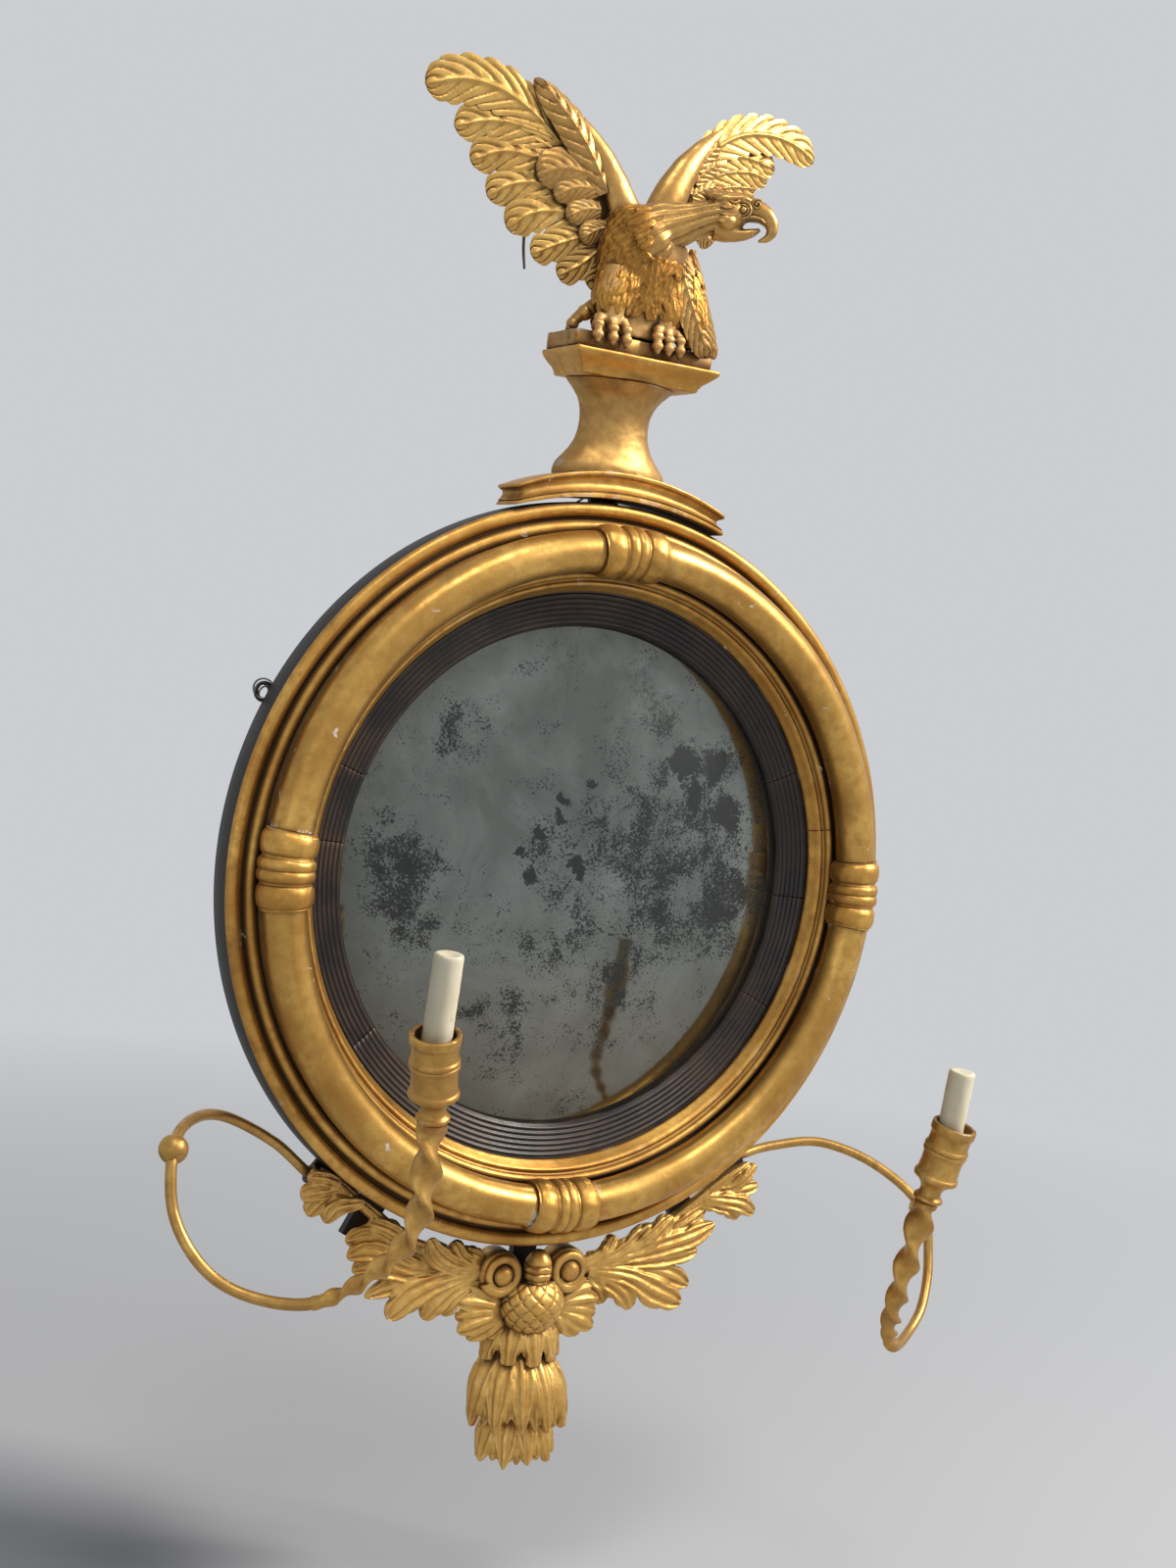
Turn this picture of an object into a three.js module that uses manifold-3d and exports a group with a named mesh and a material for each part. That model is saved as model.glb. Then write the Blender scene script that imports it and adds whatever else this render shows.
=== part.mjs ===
// Girandole: a round convex wall mirror in a carved gilt frame, with an eagle on a plinth above,
// an acanthus apron below and two candle arms. Millimetres, +Z up. The origin is on the axis of the
// ring, at the back face of the backboard; +Y goes into the wall, so the front looks along -Y.
import * as THREE from "three";
import { mergeVertices } from "three/addons/utils/BufferGeometryUtils.js";
import Module from "manifold-3d";

const wasm = await Module();
wasm.setup();

// ---------------------------------------------------------------- driving sizes

const GAP = 0.3; // clearance between pieces that touch

// ring, from the rim inwards
const RING_R = 290;
const RING_SEGMENTS = 32;
const RIM_BEAD_W = 11.5;
const RIM_GROOVE_W = 2;
const INNER_BEAD_W = 10.5;
const BED_W = 26.8; // flat that carries the hoop
const MOULD_W = 17.2;
const SLIP_W = 26; // visible width of the reeded slip
const BEAD_H = 5;
const SIDE_DEPTH = 24;
const BED_DEPTH = 28;
const REBATE_W = 6; // how far the gilt moulding laps inside the ring's bore
const MOULD_H = 5.6;
const MOULD_DROP = 8.5; // from the bed down to the slip
const HOOP_R = 16;
const HOOP_SIDES = 10;
const HOOP_STEPS = 6;
const COLLAR_BEAD_R = 21;
const COLLAR_NECK_R = 17.3;
const COLLAR_BEAD_L = 18.5;
const COLLAR_BEADS = 3;
const COLLAR_SIDES = 8;

// slip, mirror and backboard
const SLIP_THICK = 4;
const SLIP_REEDS = 4;
const REED_H = 1.6;
const SLIP_BACK = 8.5; // slip's back face in front of the ring's back face
const MIRROR_CURVE_R = 750;
const MIRROR_THICK = 3;
const MIRROR_LAP = 16; // mirror edge hidden behind the slip
const BACKBOARD_THICK = 10;
const BACKBOARD_LAP = 16;
const SCREW_COUNT = 4;
const SCREW_SHANK_R = 2;
const SCREW_HEAD_R = 4.5;
const SCREW_HEAD_H = 3;
const SCREW_LENGTH = 22;
const BLOCK_COUNT = 4;
const BLOCK_SPAN = 8; // degrees of the ring that one glass block takes

// plinth
const PLINTH_RISE = 3; // dark gap between ring and plinth base
const BASE_H = 21;
const BASE_HALF_W = 94;
const BASE_TOP_R = 222;
const BASE_FRONT = 43;
const PLINTH_BACK = 10;
const BASE_COVE = 4.5;
const SHAFT_H = 68;
const SHAFT_TOP = [45, 38]; // half width and depth under the slab
const SHAFT_WAIST = [30.5, 22];
const SHAFT_FOOT = [50, 27];
const SLAB_H = 18;
const SLAB_HALF_W = 64;
const SLAB_FRONT = 58;
const SLAB_BACK = 2;
const SLAB_BEVEL = 12;
const BLOCK_H = 13;
const BLOCK_HALF_W = 62;
const BLOCK_FRONT = 48;
const STRAP_W = 24;
const STRAP_THICK = 4.5;

// eagle, placed from the middle of its block's top
const EAGLE_BODY_H = 92;
const WING_FRONT = 32; // how far the shoulders stand out from the wall
const WING_SWEEP = 0.13;
const FEATHER_RISE = 4.5;
const FEATHER_THICK = 3;
const COVERT_HALF_W = 12;

// apron, placed from the ring's lowest point and along its rim
const APRON_DROP = 23; // centre of the volutes below the rim
const VOLUTE_R = 17.5;
const VOLUTE_X = 30.3;
const BOSS_R = 24.5;
const BOSS_H = 40;
const LEAF_DEPTH = 11;
const LEAF_THICK = 4;
const LOBE_RISE = 7;
const HUSK_FLUTE = 5;
const HUSK_NOTCH = 16;
const HUSK_DEPTH = 0.9;
const PENDANT_UPPER_L = 62;
const PENDANT_LOWER_L = 54;
const CLEAT_THICK = 7;

// candle arms
const WIRE_R = 4;
const BALL_R = 10.5;
const ARM_LIFT = { left: 31, right: -40 }; // the two old arms sit at different heights
const TENON_L = 20;
const SOCKET_WALL = 3;
const TWIST_START_R = 5;
const TWIST_END_R = 11;
const TWIST_HALF_TURNS = 5.5;
const TWIST_LOBE = 0.3; // how deep the groove between the two strands is
const SPIGOT_R = 2.5;
const SPIGOT_L = 12;
const NOZZLE_H = 62;
const NOZZLE_RIM_R = 17.1;
const NOZZLE_BODY_R = 15.8;
const NOZZLE_NECK_R = 8.2;
const NOZZLE_FOOT_R = 11.3;
const NOZZLE_BORE_R = 13.5;
const NOZZLE_BORE_DEPTH = 25;
const NOZZLE_CLEAR = 1; // dark gap between the twist and the nozzle's foot
const CANDLE_R = 10;
const CANDLE_SUNK = 20;
const CANDLE_ABOVE = { left: 54, right: 44 };
const NOZZLE_LEAN = { left: [-11.4, -14], right: [6.3, -14] }; // x and y over NOZZLE_H
const CANDLE_LEAN = { left: [-0.4, -5.7], right: [1.2, -5.7] };

// hanging hardware
const HANGER_ANGLE = 155;
const EYE_R = 6;
const EYE_WIRE_R = 1.5;
const HANGING_WIRE_R = 0.8;
const HANGING_PEAK = 302; // height of the wire's peak over the ring's axis
const PEAK_BEND_R = 8;
const PEAK_BEND_DROP = 3.6;
const HANGER_PROUD = 3.6; // middle of the eye in front of the wall
const HANGER_PLATE = 5;
const WINDING_R = 2.4;
const WINDING_END = 18;

// ---------------------------------------------------------------- places that follow from them

const bedOuter = RING_R - RIM_BEAD_W - RIM_GROOVE_W - INNER_BEAD_W;
const bedInner = bedOuter - BED_W;
const hoopAxis = (bedOuter + bedInner) / 2;
const mouldInner = bedInner - MOULD_W;
const boreR = mouldInner + REBATE_W;
const sightR = mouldInner - SLIP_W;
const slipFront = BED_DEPTH - MOULD_DROP - GAP;
const hoopDepth = BED_DEPTH + GAP + HOOP_R * Math.cos(Math.PI / HOOP_SIDES);
const crestDepth = BED_DEPTH + MOULD_H + 2 * GAP;
const collarHalf = (COLLAR_BEAD_L * COLLAR_BEADS) / 2;
const ringTop = RING_R + PLINTH_RISE;
const shaftFoot = ringTop + BASE_H + GAP;
const slabFoot = shaftFoot + SHAFT_H + GAP;
const blockFoot = slabFoot + SLAB_H + GAP;
const eagleFoot = blockFoot + BLOCK_H;
const backboardR = boreR + BACKBOARD_LAP;
const screwR = (boreR + backboardR) / 2;

const vec = (x, y, z) => new THREE.Vector3(x, y, z);
const rad = THREE.MathUtils.degToRad;
// depth in front of the ring's back face, as a y coordinate
const front = (depth) => -(BACKBOARD_THICK + depth);

// a point near the rim: angle from +X, distance out of the rim, depth in front of the ring's back
function rimPoint(angle, out, depth) {
  const r = RING_R + out;
  return vec(r * Math.cos(rad(angle)), front(depth), r * Math.sin(rad(angle)));
}

// ---------------------------------------------------------------- solids

function toSolid(geometry) {
  const bare = geometry.clone();
  bare.deleteAttribute("normal");
  if (bare.attributes.uv) bare.deleteAttribute("uv");
  const merged = mergeVertices(bare, 1e-4);
  const positions = Float32Array.from(merged.attributes.position.array);
  const triangles = Uint32Array.from(merged.index.array);
  if (signedVolume(positions, triangles) < 0) {
    for (let i = 0; i < triangles.length; i += 3) {
      [triangles[i], triangles[i + 1]] = [triangles[i + 1], triangles[i]];
    }
  }
  return new wasm.Manifold(new wasm.Mesh({ numProp: 3, vertProperties: positions, triVerts: triangles }));
}

function signedVolume(positions, triangles) {
  const corner = (i) => new THREE.Vector3().fromArray(positions, 3 * triangles[i]);
  let volume = 0;
  for (let i = 0; i < triangles.length; i += 3) {
    volume += corner(i).dot(corner(i + 1).cross(corner(i + 2))) / 6;
  }
  return volume;
}

function toGeometry(solid) {
  const mesh = solid.getMesh();
  const geometry = new THREE.BufferGeometry();
  geometry.setAttribute("position", new THREE.BufferAttribute(Float32Array.from(mesh.vertProperties), 3));
  geometry.setIndex(new THREE.BufferAttribute(Uint32Array.from(mesh.triVerts), 1));
  geometry.computeVertexNormals();
  return geometry;
}

const join = (solids) => solids.reduce((sum, solid) => sum.add(solid));

// the largest single body of a solid, without the crumbs that a cut can leave
function mainBody(solid) {
  const bodies = solid.decompose();
  return bodies.reduce((best, body) => (body.volume() > best.volume() ? body : best));
}

// a solid swollen by a margin along its vertex normals, for cutting a seat with clearance
function swollen(solid, margin) {
  const geometry = toGeometry(solid);
  const normal = geometry.attributes.normal;
  const position = geometry.attributes.position;
  for (let i = 0; i < position.count; i += 1) {
    position.setXYZ(
      i,
      position.getX(i) + margin * normal.getX(i),
      position.getY(i) + margin * normal.getY(i),
      position.getZ(i) + margin * normal.getZ(i),
    );
  }
  return toSolid(geometry);
}

// cut a piece back from its neighbours, leaving the clearance that touching pieces keep
function seated(solid, neighbours, margin = 2 * GAP) {
  const cut = neighbours.reduce((rest, neighbour) =>
    rest.subtract(swollen(neighbour, margin)).subtract(neighbour), solid);
  return mainBody(cut);
}

// skin over a row of sections that all have the same number of points, closed at both ends. A flat
// end is closed as a fan; a bent one as a ribbon between the two halves of its outline.
function skin(sections, bentEnds = false) {
  const count = sections[0].length;
  const positions = sections.flat().flatMap((point) => point.toArray());
  const index = [];
  for (let row = 0; row + 1 < sections.length; row += 1) {
    for (let i = 0; i < count; i += 1) {
      const a = row * count + i;
      const b = row * count + ((i + 1) % count);
      index.push(a, b, b + count, a, b + count, a + count);
    }
  }
  const last = (sections.length - 1) * count;
  const closeEnd = (a, b, c) => index.push(a, c, b, last + a, last + b, last + c);
  for (let i = 1; i + 1 < count && !bentEnds; i += 1) {
    closeEnd(0, i, i + 1);
  }
  for (let i = 0; i + 1 < count / 2 && bentEnds; i += 1) {
    closeEnd(i, i + 1, count - 2 - i);
    closeEnd(i, count - 2 - i, count - 1 - i);
  }
  const geometry = new THREE.BufferGeometry();
  geometry.setAttribute("position", new THREE.Float32BufferAttribute(positions, 3));
  geometry.setIndex(index);
  return toSolid(geometry);
}

// profile points are [radius, depth in front of the ring's back]
function turned(profile, segments = RING_SEGMENTS) {
  const points = profile.map(([r, depth]) => new THREE.Vector2(r, front(depth)));
  const closed = profile[0][0] === 0 ? points : [...points, points[0].clone()];
  return toSolid(new THREE.LatheGeometry(closed, segments));
}

function box(x0, x1, y0, y1, z0, z1) {
  const geometry = new THREE.BoxGeometry(x1 - x0, y1 - y0, z1 - z0);
  geometry.translate((x0 + x1) / 2, (y0 + y1) / 2, (z0 + z1) / 2);
  return toSolid(geometry);
}

// a straight round bar between two points
function bar(from, to, radius, sides = 12) {
  const length = from.distanceTo(to);
  const geometry = new THREE.CylinderGeometry(radius, radius, length, sides);
  const turn = new THREE.Quaternion().setFromUnitVectors(vec(0, 1, 0), to.clone().sub(from).normalize());
  geometry.applyQuaternion(turn);
  geometry.translate((from.x + to.x) / 2, (from.y + to.y) / 2, (from.z + to.z) / 2);
  return toSolid(geometry);
}

// a round wire along a curve
function wire(curve, radius, sides, steps) {
  const section = new THREE.Shape();
  for (let i = 0; i < sides; i += 1) {
    const angle = (2 * Math.PI * i) / sides;
    section[i ? "lineTo" : "moveTo"](radius * Math.cos(angle), radius * Math.sin(angle));
  }
  section.closePath();
  return toSolid(new THREE.ExtrudeGeometry(section, { steps, bevelEnabled: false, extrudePath: curve }));
}

const smoothCurve = (points) => new THREE.CatmullRomCurve3(points, false, "catmullrom", 0.5);

// sections carried along a curve without turning about it; shape(s) gives [across, up] pairs
function swept(curve, steps, shape, upHint = vec(0, -1, 0)) {
  const sections = [];
  let up = upHint.clone();
  for (let i = 0; i <= steps; i += 1) {
    const s = i / steps;
    const tangent = curve.getTangent(s);
    up = up.clone().addScaledVector(tangent, -up.dot(tangent)).normalize();
    const across = new THREE.Vector3().crossVectors(tangent, up);
    const centre = curve.getPoint(s);
    sections.push(shape(s).map(([a, b]) => centre.clone().addScaledVector(across, a).addScaledVector(up, b)));
  }
  return skin(sections);
}

// a carved blade: sharp at the edges, ridged along the middle of its front
function blade(points, halfWidth, rise, { steps = 4, back = 0.6, face = vec(0, -1, 0) } = {}) {
  const shape = (s) => {
    const w = halfWidth * (0.28 + 0.72 * Math.sin(Math.PI * (0.12 + 0.76 * s)) ** 0.8) * (1 - 0.35 * s ** 6);
    const h = rise * (1 - 0.45 * s);
    return [[-w, 0], [0, h], [w, 0], [0, -back * h]];
  };
  return swept(smoothCurve(points), steps, shape, face);
}

// a carved fan of lobes or feathers. Each row runs along one lobe or along the valley beside it:
// [from, via, to, rise], where rise is how far its middle stands forward
function fan(rows, thick, face = vec(0, -1, 0)) {
  const sections = rows.map(([from, via, to, rise]) => {
    const curve = new THREE.QuadraticBezierCurve3(from, via, to);
    const at = (t, out) => curve.getPoint(t).addScaledVector(face, out);
    return [at(0, 0.5 * rise), at(0.35, rise), at(0.75, 0.7 * rise), at(1, 0), at(0.9, -thick), at(0, -thick)];
  });
  return skin(sections, true);
}

// stacked oval sections; each station is [x, y, z, half width, half depth]
function egg(stations, sides = 10) {
  const sections = stations.map(([x, y, z, rx, ry]) => Array.from({ length: sides }, (_, i) => {
    const angle = (2 * Math.PI * i) / sides;
    return vec(x + rx * Math.cos(angle), y + ry * Math.sin(angle), z);
  }));
  return skin(sections);
}

// a tapering limb along a curve, radii given at even steps
function limb(points, radii, { sides = 8, flat = 1, up = vec(0, -1, 0) } = {}) {
  const curve = smoothCurve(points);
  const steps = radii.length - 1;
  const shape = (s) => {
    const r = radii[Math.round(s * steps)];
    return Array.from({ length: sides }, (_, i) => {
      const angle = (2 * Math.PI * i) / sides;
      return [r * Math.cos(angle), flat * r * Math.sin(angle)];
    });
  };
  return swept(curve, steps, shape, up);
}

// points of a turned bead from radius a to radius b, rising by height
function bead(a, b, depth, height, steps = 3) {
  return Array.from({ length: steps + 1 }, (_, i) => {
    const angle = (Math.PI * i) / steps;
    return [(a + b) / 2 + ((a - b) / 2) * Math.cos(angle), depth + height * Math.sin(angle)];
  });
}

// ---------------------------------------------------------------- ring, mouldings and mirror

function makeRing() {
  const rimInner = RING_R - RIM_BEAD_W;
  const profile = [
    [boreR, 0],
    [RING_R - 3, 0],
    [RING_R - 1, 2],
    ...bead(RING_R, rimInner, SIDE_DEPTH, BEAD_H),
    [rimInner - RIM_GROOVE_W / 2, SIDE_DEPTH - 1],
    ...bead(rimInner - RIM_GROOVE_W, bedOuter, SIDE_DEPTH + 1, BEAD_H),
    [bedOuter - 1, BED_DEPTH],
    [boreR, BED_DEPTH],
  ];
  return turned(profile);
}

function makeInnerMoulding() {
  const bottom = BED_DEPTH + GAP;
  const outer = bedInner;
  return turned([
    [outer, bottom],
    ...bead(outer - 0.3, outer - 0.42 * MOULD_W, bottom + 1.5, MOULD_H - 2, 3),
    [outer - 0.55 * MOULD_W, bottom + 1.2],
    [outer - 0.8 * MOULD_W, bottom - 1.5],
    [mouldInner, BED_DEPTH - MOULD_DROP + 2],
    [mouldInner, BED_DEPTH - MOULD_DROP],
    [boreR - 2 * GAP, BED_DEPTH - MOULD_DROP],
    [boreR - 2 * GAP, bottom],
  ]);
}

function makeSlip() {
  const outer = boreR - 1.5;
  const inner = sightR;
  const seen = mouldInner - 1;
  const low = SLIP_BACK + SLIP_THICK;
  const reeds = [];
  for (let i = 0; i < SLIP_REEDS; i += 1) {
    for (const [part, rise] of [[0, 0], [0.5, REED_H]]) {
      const s = (i + part) / SLIP_REEDS;
      reeds.push([THREE.MathUtils.lerp(seen, inner + 1, s), THREE.MathUtils.lerp(slipFront - REED_H, low, s) + rise]);
    }
  }
  return turned([[inner, SLIP_BACK], [outer, SLIP_BACK], [outer, slipFront - REED_H], ...reeds, [inner, low - 1]]);
}

// the mirror's front surface, as depth over the ring's back, at a radius from its axis
function mirrorDepth(r) {
  const bulge = (x) => (x * x) / (2 * MIRROR_CURVE_R);
  return SLIP_BACK - GAP + bulge(sightR) - bulge(r);
}

function makeMirror() {
  const edge = sightR + MIRROR_LAP;
  const frontSide = [0, 0.35, 0.7, 1].map((s) => [edge * s, mirrorDepth(edge * s)]);
  const backSide = [1, 0.5, 0].map((s) => [edge * s, mirrorDepth(edge * s) - MIRROR_THICK]);
  return turned([...frontSide, ...backSide], 32);
}

// points of a section on the ring's hoop line, at an angle round the ring
function hoopSection(angle, radius, sides) {
  return Array.from({ length: sides }, (_, i) => {
    const turn = (2 * Math.PI * (i + 0.5)) / sides - Math.PI / 2;
    const r = hoopAxis + radius * Math.cos(turn);
    return vec(r * Math.cos(angle), front(hoopDepth + radius * Math.sin(turn)), r * Math.sin(angle));
  });
}

function makeHoop(quarter) {
  const margin = (collarHalf + GAP) / hoopAxis;
  const start = (quarter * Math.PI) / 2 + margin;
  const sweep = Math.PI / 2 - 2 * margin;
  const sections = Array.from({ length: HOOP_STEPS + 1 }, (_, i) =>
    hoopSection(start + (sweep * i) / HOOP_STEPS, HOOP_R, HOOP_SIDES));
  return skin(sections);
}

function makeCollar(quarter) {
  const middle = (quarter * Math.PI) / 2;
  const sections = [];
  const stations = [-1, -0.6, 0.6];
  for (let b = 0; b < COLLAR_BEADS; b += 1) {
    for (const u of b === COLLAR_BEADS - 1 ? [...stations, 1] : stations) {
      const along = -collarHalf + COLLAR_BEAD_L * (b + 0.5 + u / 2);
      const radius = COLLAR_NECK_R + (COLLAR_BEAD_R - COLLAR_NECK_R) * Math.sqrt(1 - u * u) * 1.2;
      sections.push(hoopSection(middle + along / hoopAxis, radius, COLLAR_SIDES));
    }
  }
  // the underside is cut flat on the bed and clear of the beads on both sides of it
  const floor = BED_DEPTH + GAP;
  const wide = COLLAR_BEAD_R + 8;
  const under = turned([
    [hoopAxis - wide, -5],
    [hoopAxis + wide, -5],
    [hoopAxis + wide, crestDepth],
    [bedOuter - 2, crestDepth],
    [bedOuter - 2, floor],
    [bedInner + 2, floor],
    [bedInner + 2, crestDepth],
    [hoopAxis - wide, crestDepth],
  ]);
  return mainBody(skin(sections).subtract(under));
}

function screwLine(i) {
  const angle = 45 + (360 * i) / SCREW_COUNT;
  const r = screwR;
  const at = (y) => vec(r * Math.cos(rad(angle)), y, r * Math.sin(rad(angle)));
  return at;
}

function screwSolid(i, clear) {
  const at = screwLine(i);
  const head = bar(at(-SCREW_HEAD_H - clear), at(clear ? 1 : -GAP), SCREW_HEAD_R + clear, 10);
  return head.add(bar(at(-SCREW_HEAD_H / 2), at(-SCREW_LENGTH - clear), SCREW_SHANK_R + clear, 6));
}

function makeBackboard() {
  const face = -BACKBOARD_THICK;
  const disc = turned([[0, face], [backboardR, face], [backboardR, -GAP], [0, -GAP]], 24);
  return cutForScrews(disc);
}

function cutForScrews(solid) {
  let rest = solid;
  for (let i = 0; i < SCREW_COUNT; i += 1) {
    rest = rest.subtract(screwSolid(i, GAP));
  }
  return rest;
}

// a small pine block that centres the mirror plate in the bore
function makeGlassBlock(i) {
  const middle = (2 * Math.PI * i) / BLOCK_COUNT;
  const half = rad(BLOCK_SPAN) / 2;
  const inner = sightR + MIRROR_LAP + 1;
  const outer = boreR - 1.5;
  const sections = [-half, 0, half].map((turn) => [
    [inner, GAP], [outer, GAP], [outer, SLIP_BACK - GAP], [inner, SLIP_BACK - GAP],
  ].map(([r, depth]) => vec(r * Math.cos(middle + turn), front(depth), r * Math.sin(middle + turn))));
  return skin(sections);
}

// ---------------------------------------------------------------- plinth

// height of an arc over the ring's axis, at a distance from the middle
function arcHeight(x, radius, apex) {
  return apex - radius + Math.sqrt(radius * radius - x * x);
}

function makePlinthBase() {
  const across = 8;
  const levels = [[0, 0], [0.16, 0], [0.24, 0.7], [0.5, 1], [0.76, 0.7], [0.84, 0], [1, 0]];
  const sections = levels.map(([t, inset]) => {
    const cut = inset * BASE_COVE;
    const at = (k, y) => {
      const x = (BASE_HALF_W - cut) * (2 * (k / across) - 1);
      const low = arcHeight(x, ringTop, ringTop);
      const high = arcHeight(x, BASE_TOP_R, ringTop + BASE_H);
      return vec(x, y, THREE.MathUtils.lerp(low, high, t));
    };
    const frontRow = Array.from({ length: across + 1 }, (_, k) => at(k, -BASE_FRONT + cut));
    const backRow = Array.from({ length: across + 1 }, (_, k) => at(across - k, -PLINTH_BACK));
    return [...frontRow, ...backRow];
  });
  return skin(sections, true);
}

// half an oval with a flat back
function halfOval(halfWidth, depth, z, points = 12) {
  return Array.from({ length: points + 1 }, (_, i) => {
    const angle = (Math.PI * i) / points;
    return vec(-halfWidth * Math.cos(angle), -PLINTH_BACK - depth * Math.sin(angle), z);
  });
}

function makePlinthShaft(base) {
  const stations = [
    [-0.14, SHAFT_FOOT, 0], [0.06, SHAFT_FOOT, 0.06], [0.18, SHAFT_FOOT, 0.45], [0.34, SHAFT_FOOT, 0.84],
    [0.56, SHAFT_WAIST, 0], [0.76, SHAFT_TOP, 0.8], [0.9, SHAFT_TOP, 0.4], [1, SHAFT_TOP, 0],
  ];
  const sections = stations.map(([t, from, blend]) => {
    const mix = (k) => THREE.MathUtils.lerp(from[k], SHAFT_WAIST[k], blend);
    return halfOval(mix(0), mix(1), shaftFoot + SHAFT_H * t);
  });
  return seated(skin(sections), [base]);
}

function makePlinthSlab() {
  const levels = [[0, 1], [0.12, 0.93], [0.3, 0.8], [0.62, 0.22], [0.8, 0.02], [1, 0]];
  const sections = levels.map(([t, inset]) => {
    const cut = inset * SLAB_BEVEL;
    const z = slabFoot + SLAB_H * t;
    const w = SLAB_HALF_W - cut;
    return [vec(-w, -SLAB_FRONT + cut, z), vec(w, -SLAB_FRONT + cut, z), vec(w, -SLAB_BACK, z), vec(-w, -SLAB_BACK, z)];
  });
  return skin(sections);
}

const makeEagleBlock = () =>
  box(-BLOCK_HALF_W, BLOCK_HALF_W, -BLOCK_FRONT, -SLAB_BACK - 1, blockFoot, blockFoot + BLOCK_H);

const makePlinthStrap = () => box(
  -STRAP_W / 2, STRAP_W / 2, -BACKBOARD_THICK + GAP, -BACKBOARD_THICK + GAP + STRAP_THICK,
  backboardR + 4, shaftFoot + 0.7 * SHAFT_H,
);

// ---------------------------------------------------------------- eagle

const eagleAt = (x, y, z) => vec(x, y, eagleFoot + z);

function makeEagleBody(block) {
  const h = EAGLE_BODY_H;
  const torso = egg([
    [2, -28, eagleFoot + 0.12 * h, 22, 14], [0, -30, eagleFoot + 0.26 * h, 34, 19],
    [-4, -33, eagleFoot + 0.5 * h, 40, 24], [-6, -36, eagleFoot + 0.72 * h, 38, 25],
    [-9, -38, eagleFoot + 0.9 * h, 30, 22], [-12, -39, eagleFoot + 1.04 * h, 19, 16],
  ]);
  const thighs = [-1, 1].map((side) => limb(
    [eagleAt(side * 20, -32, 0.5 * h), eagleAt(side * 27, -36, 0.26 * h), eagleAt(side * 29, -36, 0.02 * h + GAP)],
    [17, 14, 8],
  ));
  return seated(join([torso, ...thighs]), [block]);
}

// three knuckled toes that grip the edge of the block, and a spur behind
function makeEagleFoot(side, block, body) {
  const ankle = eagleAt(side * 29, -38, 9);
  const toes = [-1, 0, 1].map((k) => limb(
    [
      ankle,
      eagleAt(side * 29 + 9 * k, -45, 8),
      eagleAt(side * 29 + 12 * k, -BLOCK_FRONT - 4.5, 1),
      eagleAt(side * 29 + 12 * k, -BLOCK_FRONT - 5.5, -BLOCK_H + 3),
    ],
    [5, 4, 5, 4, 1.8],
    { sides: 5 },
  ));
  return seated(join(toes), [block, body]);
}

function makeEagleHead(body) {
  const neck = limb(
    [
      eagleAt(-16, -42, 70), eagleAt(4, -50, 85), eagleAt(26, -62, 96), eagleAt(44, -72, 103),
      eagleAt(60, -81, 105), eagleAt(74, -88, 98), eagleAt(76, -90, 85),
    ],
    [24, 22, 19, 15.5, 13.5, 13.5, 11.5, 7.5, 2],
    { sides: 8 },
  );
  const jaw = limb([eagleAt(44, -72, 96), eagleAt(58, -80, 90), eagleAt(68, -86, 87)], [8, 5, 2], { sides: 6 });
  const crest = limb([eagleAt(28, -63, 108), eagleAt(44, -72, 115), eagleAt(62, -82, 113)], [2, 5, 3], { sides: 6 });
  return seated(join([neck, jaw, crest]), [body]);
}

// Each row of a wing is [root x, root z, via x, via z, end x, end z, tip]: x away from the eagle's
// middle, z over its block; tip is 1 along a feather and 0 along the valley beside it.
const WINGS = {
  left: {
    rows: [
      [106, 175, 161, 190, 184, 168, 0], [104, 168, 152, 170, 189, 155, 1], [100, 161, 143, 157, 179, 148, 0],
      [98, 156, 135, 154, 173, 142, 1], [95, 151, 126, 150, 158, 145, 0], [93, 146, 130, 145, 162, 132, 1],
      [89, 138, 117, 132, 141, 122, 0], [84, 130, 117, 125, 146, 110, 1], [79, 124, 104, 113, 125, 101, 0],
      [74, 118, 103, 108, 130, 87, 1], [68, 109, 90, 96, 108, 82, 0], [62, 100, 85, 88, 113, 67, 1],
      [56, 90, 76, 75, 95, 59, 0], [50, 81, 67, 68, 87, 49, 1], [46, 75, 59, 62, 73, 52, 0],
      [41, 70, 54, 56, 68, 37, 1], [31, 67, 37, 49, 42, 32, 0],
    ],
    arm: [[10, 78], [37, 95], [56, 115], [72, 134], [87, 151], [98, 164]],
    covert: [[44, 129], [67, 154], [102, 178]],
  },
  right: {
    rows: [
      [40, 166, 65, 199, 111, 198, 0], [45, 164, 84, 196, 129, 199, 1], [47, 162, 91, 187, 137, 196, 0],
      [50, 161, 102, 185, 159, 182, 1], [53, 157, 96, 173, 142, 168, 1], [54, 152, 85, 163, 115, 168, 0],
      [53, 145, 85, 159, 119, 160, 1], [53, 141, 82, 152, 110, 151, 0], [52, 137, 76, 146, 101, 141, 1],
      [50, 130, 67, 137, 81, 138, 0], [47, 124, 70, 134, 91, 130, 1], [46, 117, 59, 119, 73, 117, 0],
      [45, 111, 65, 116, 79, 108, 1], [44, 105, 55, 103, 63, 98, 0], [43, 99, 54, 95, 63, 82, 1],
      [38, 93, 44, 87, 52, 81, 0],
    ],
    arm: [[8, 76], [21, 98], [29, 118], [37, 138], [47, 155], [58, 168]],
    covert: [[30, 138], [44, 160], [70, 181]],
  },
};

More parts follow.
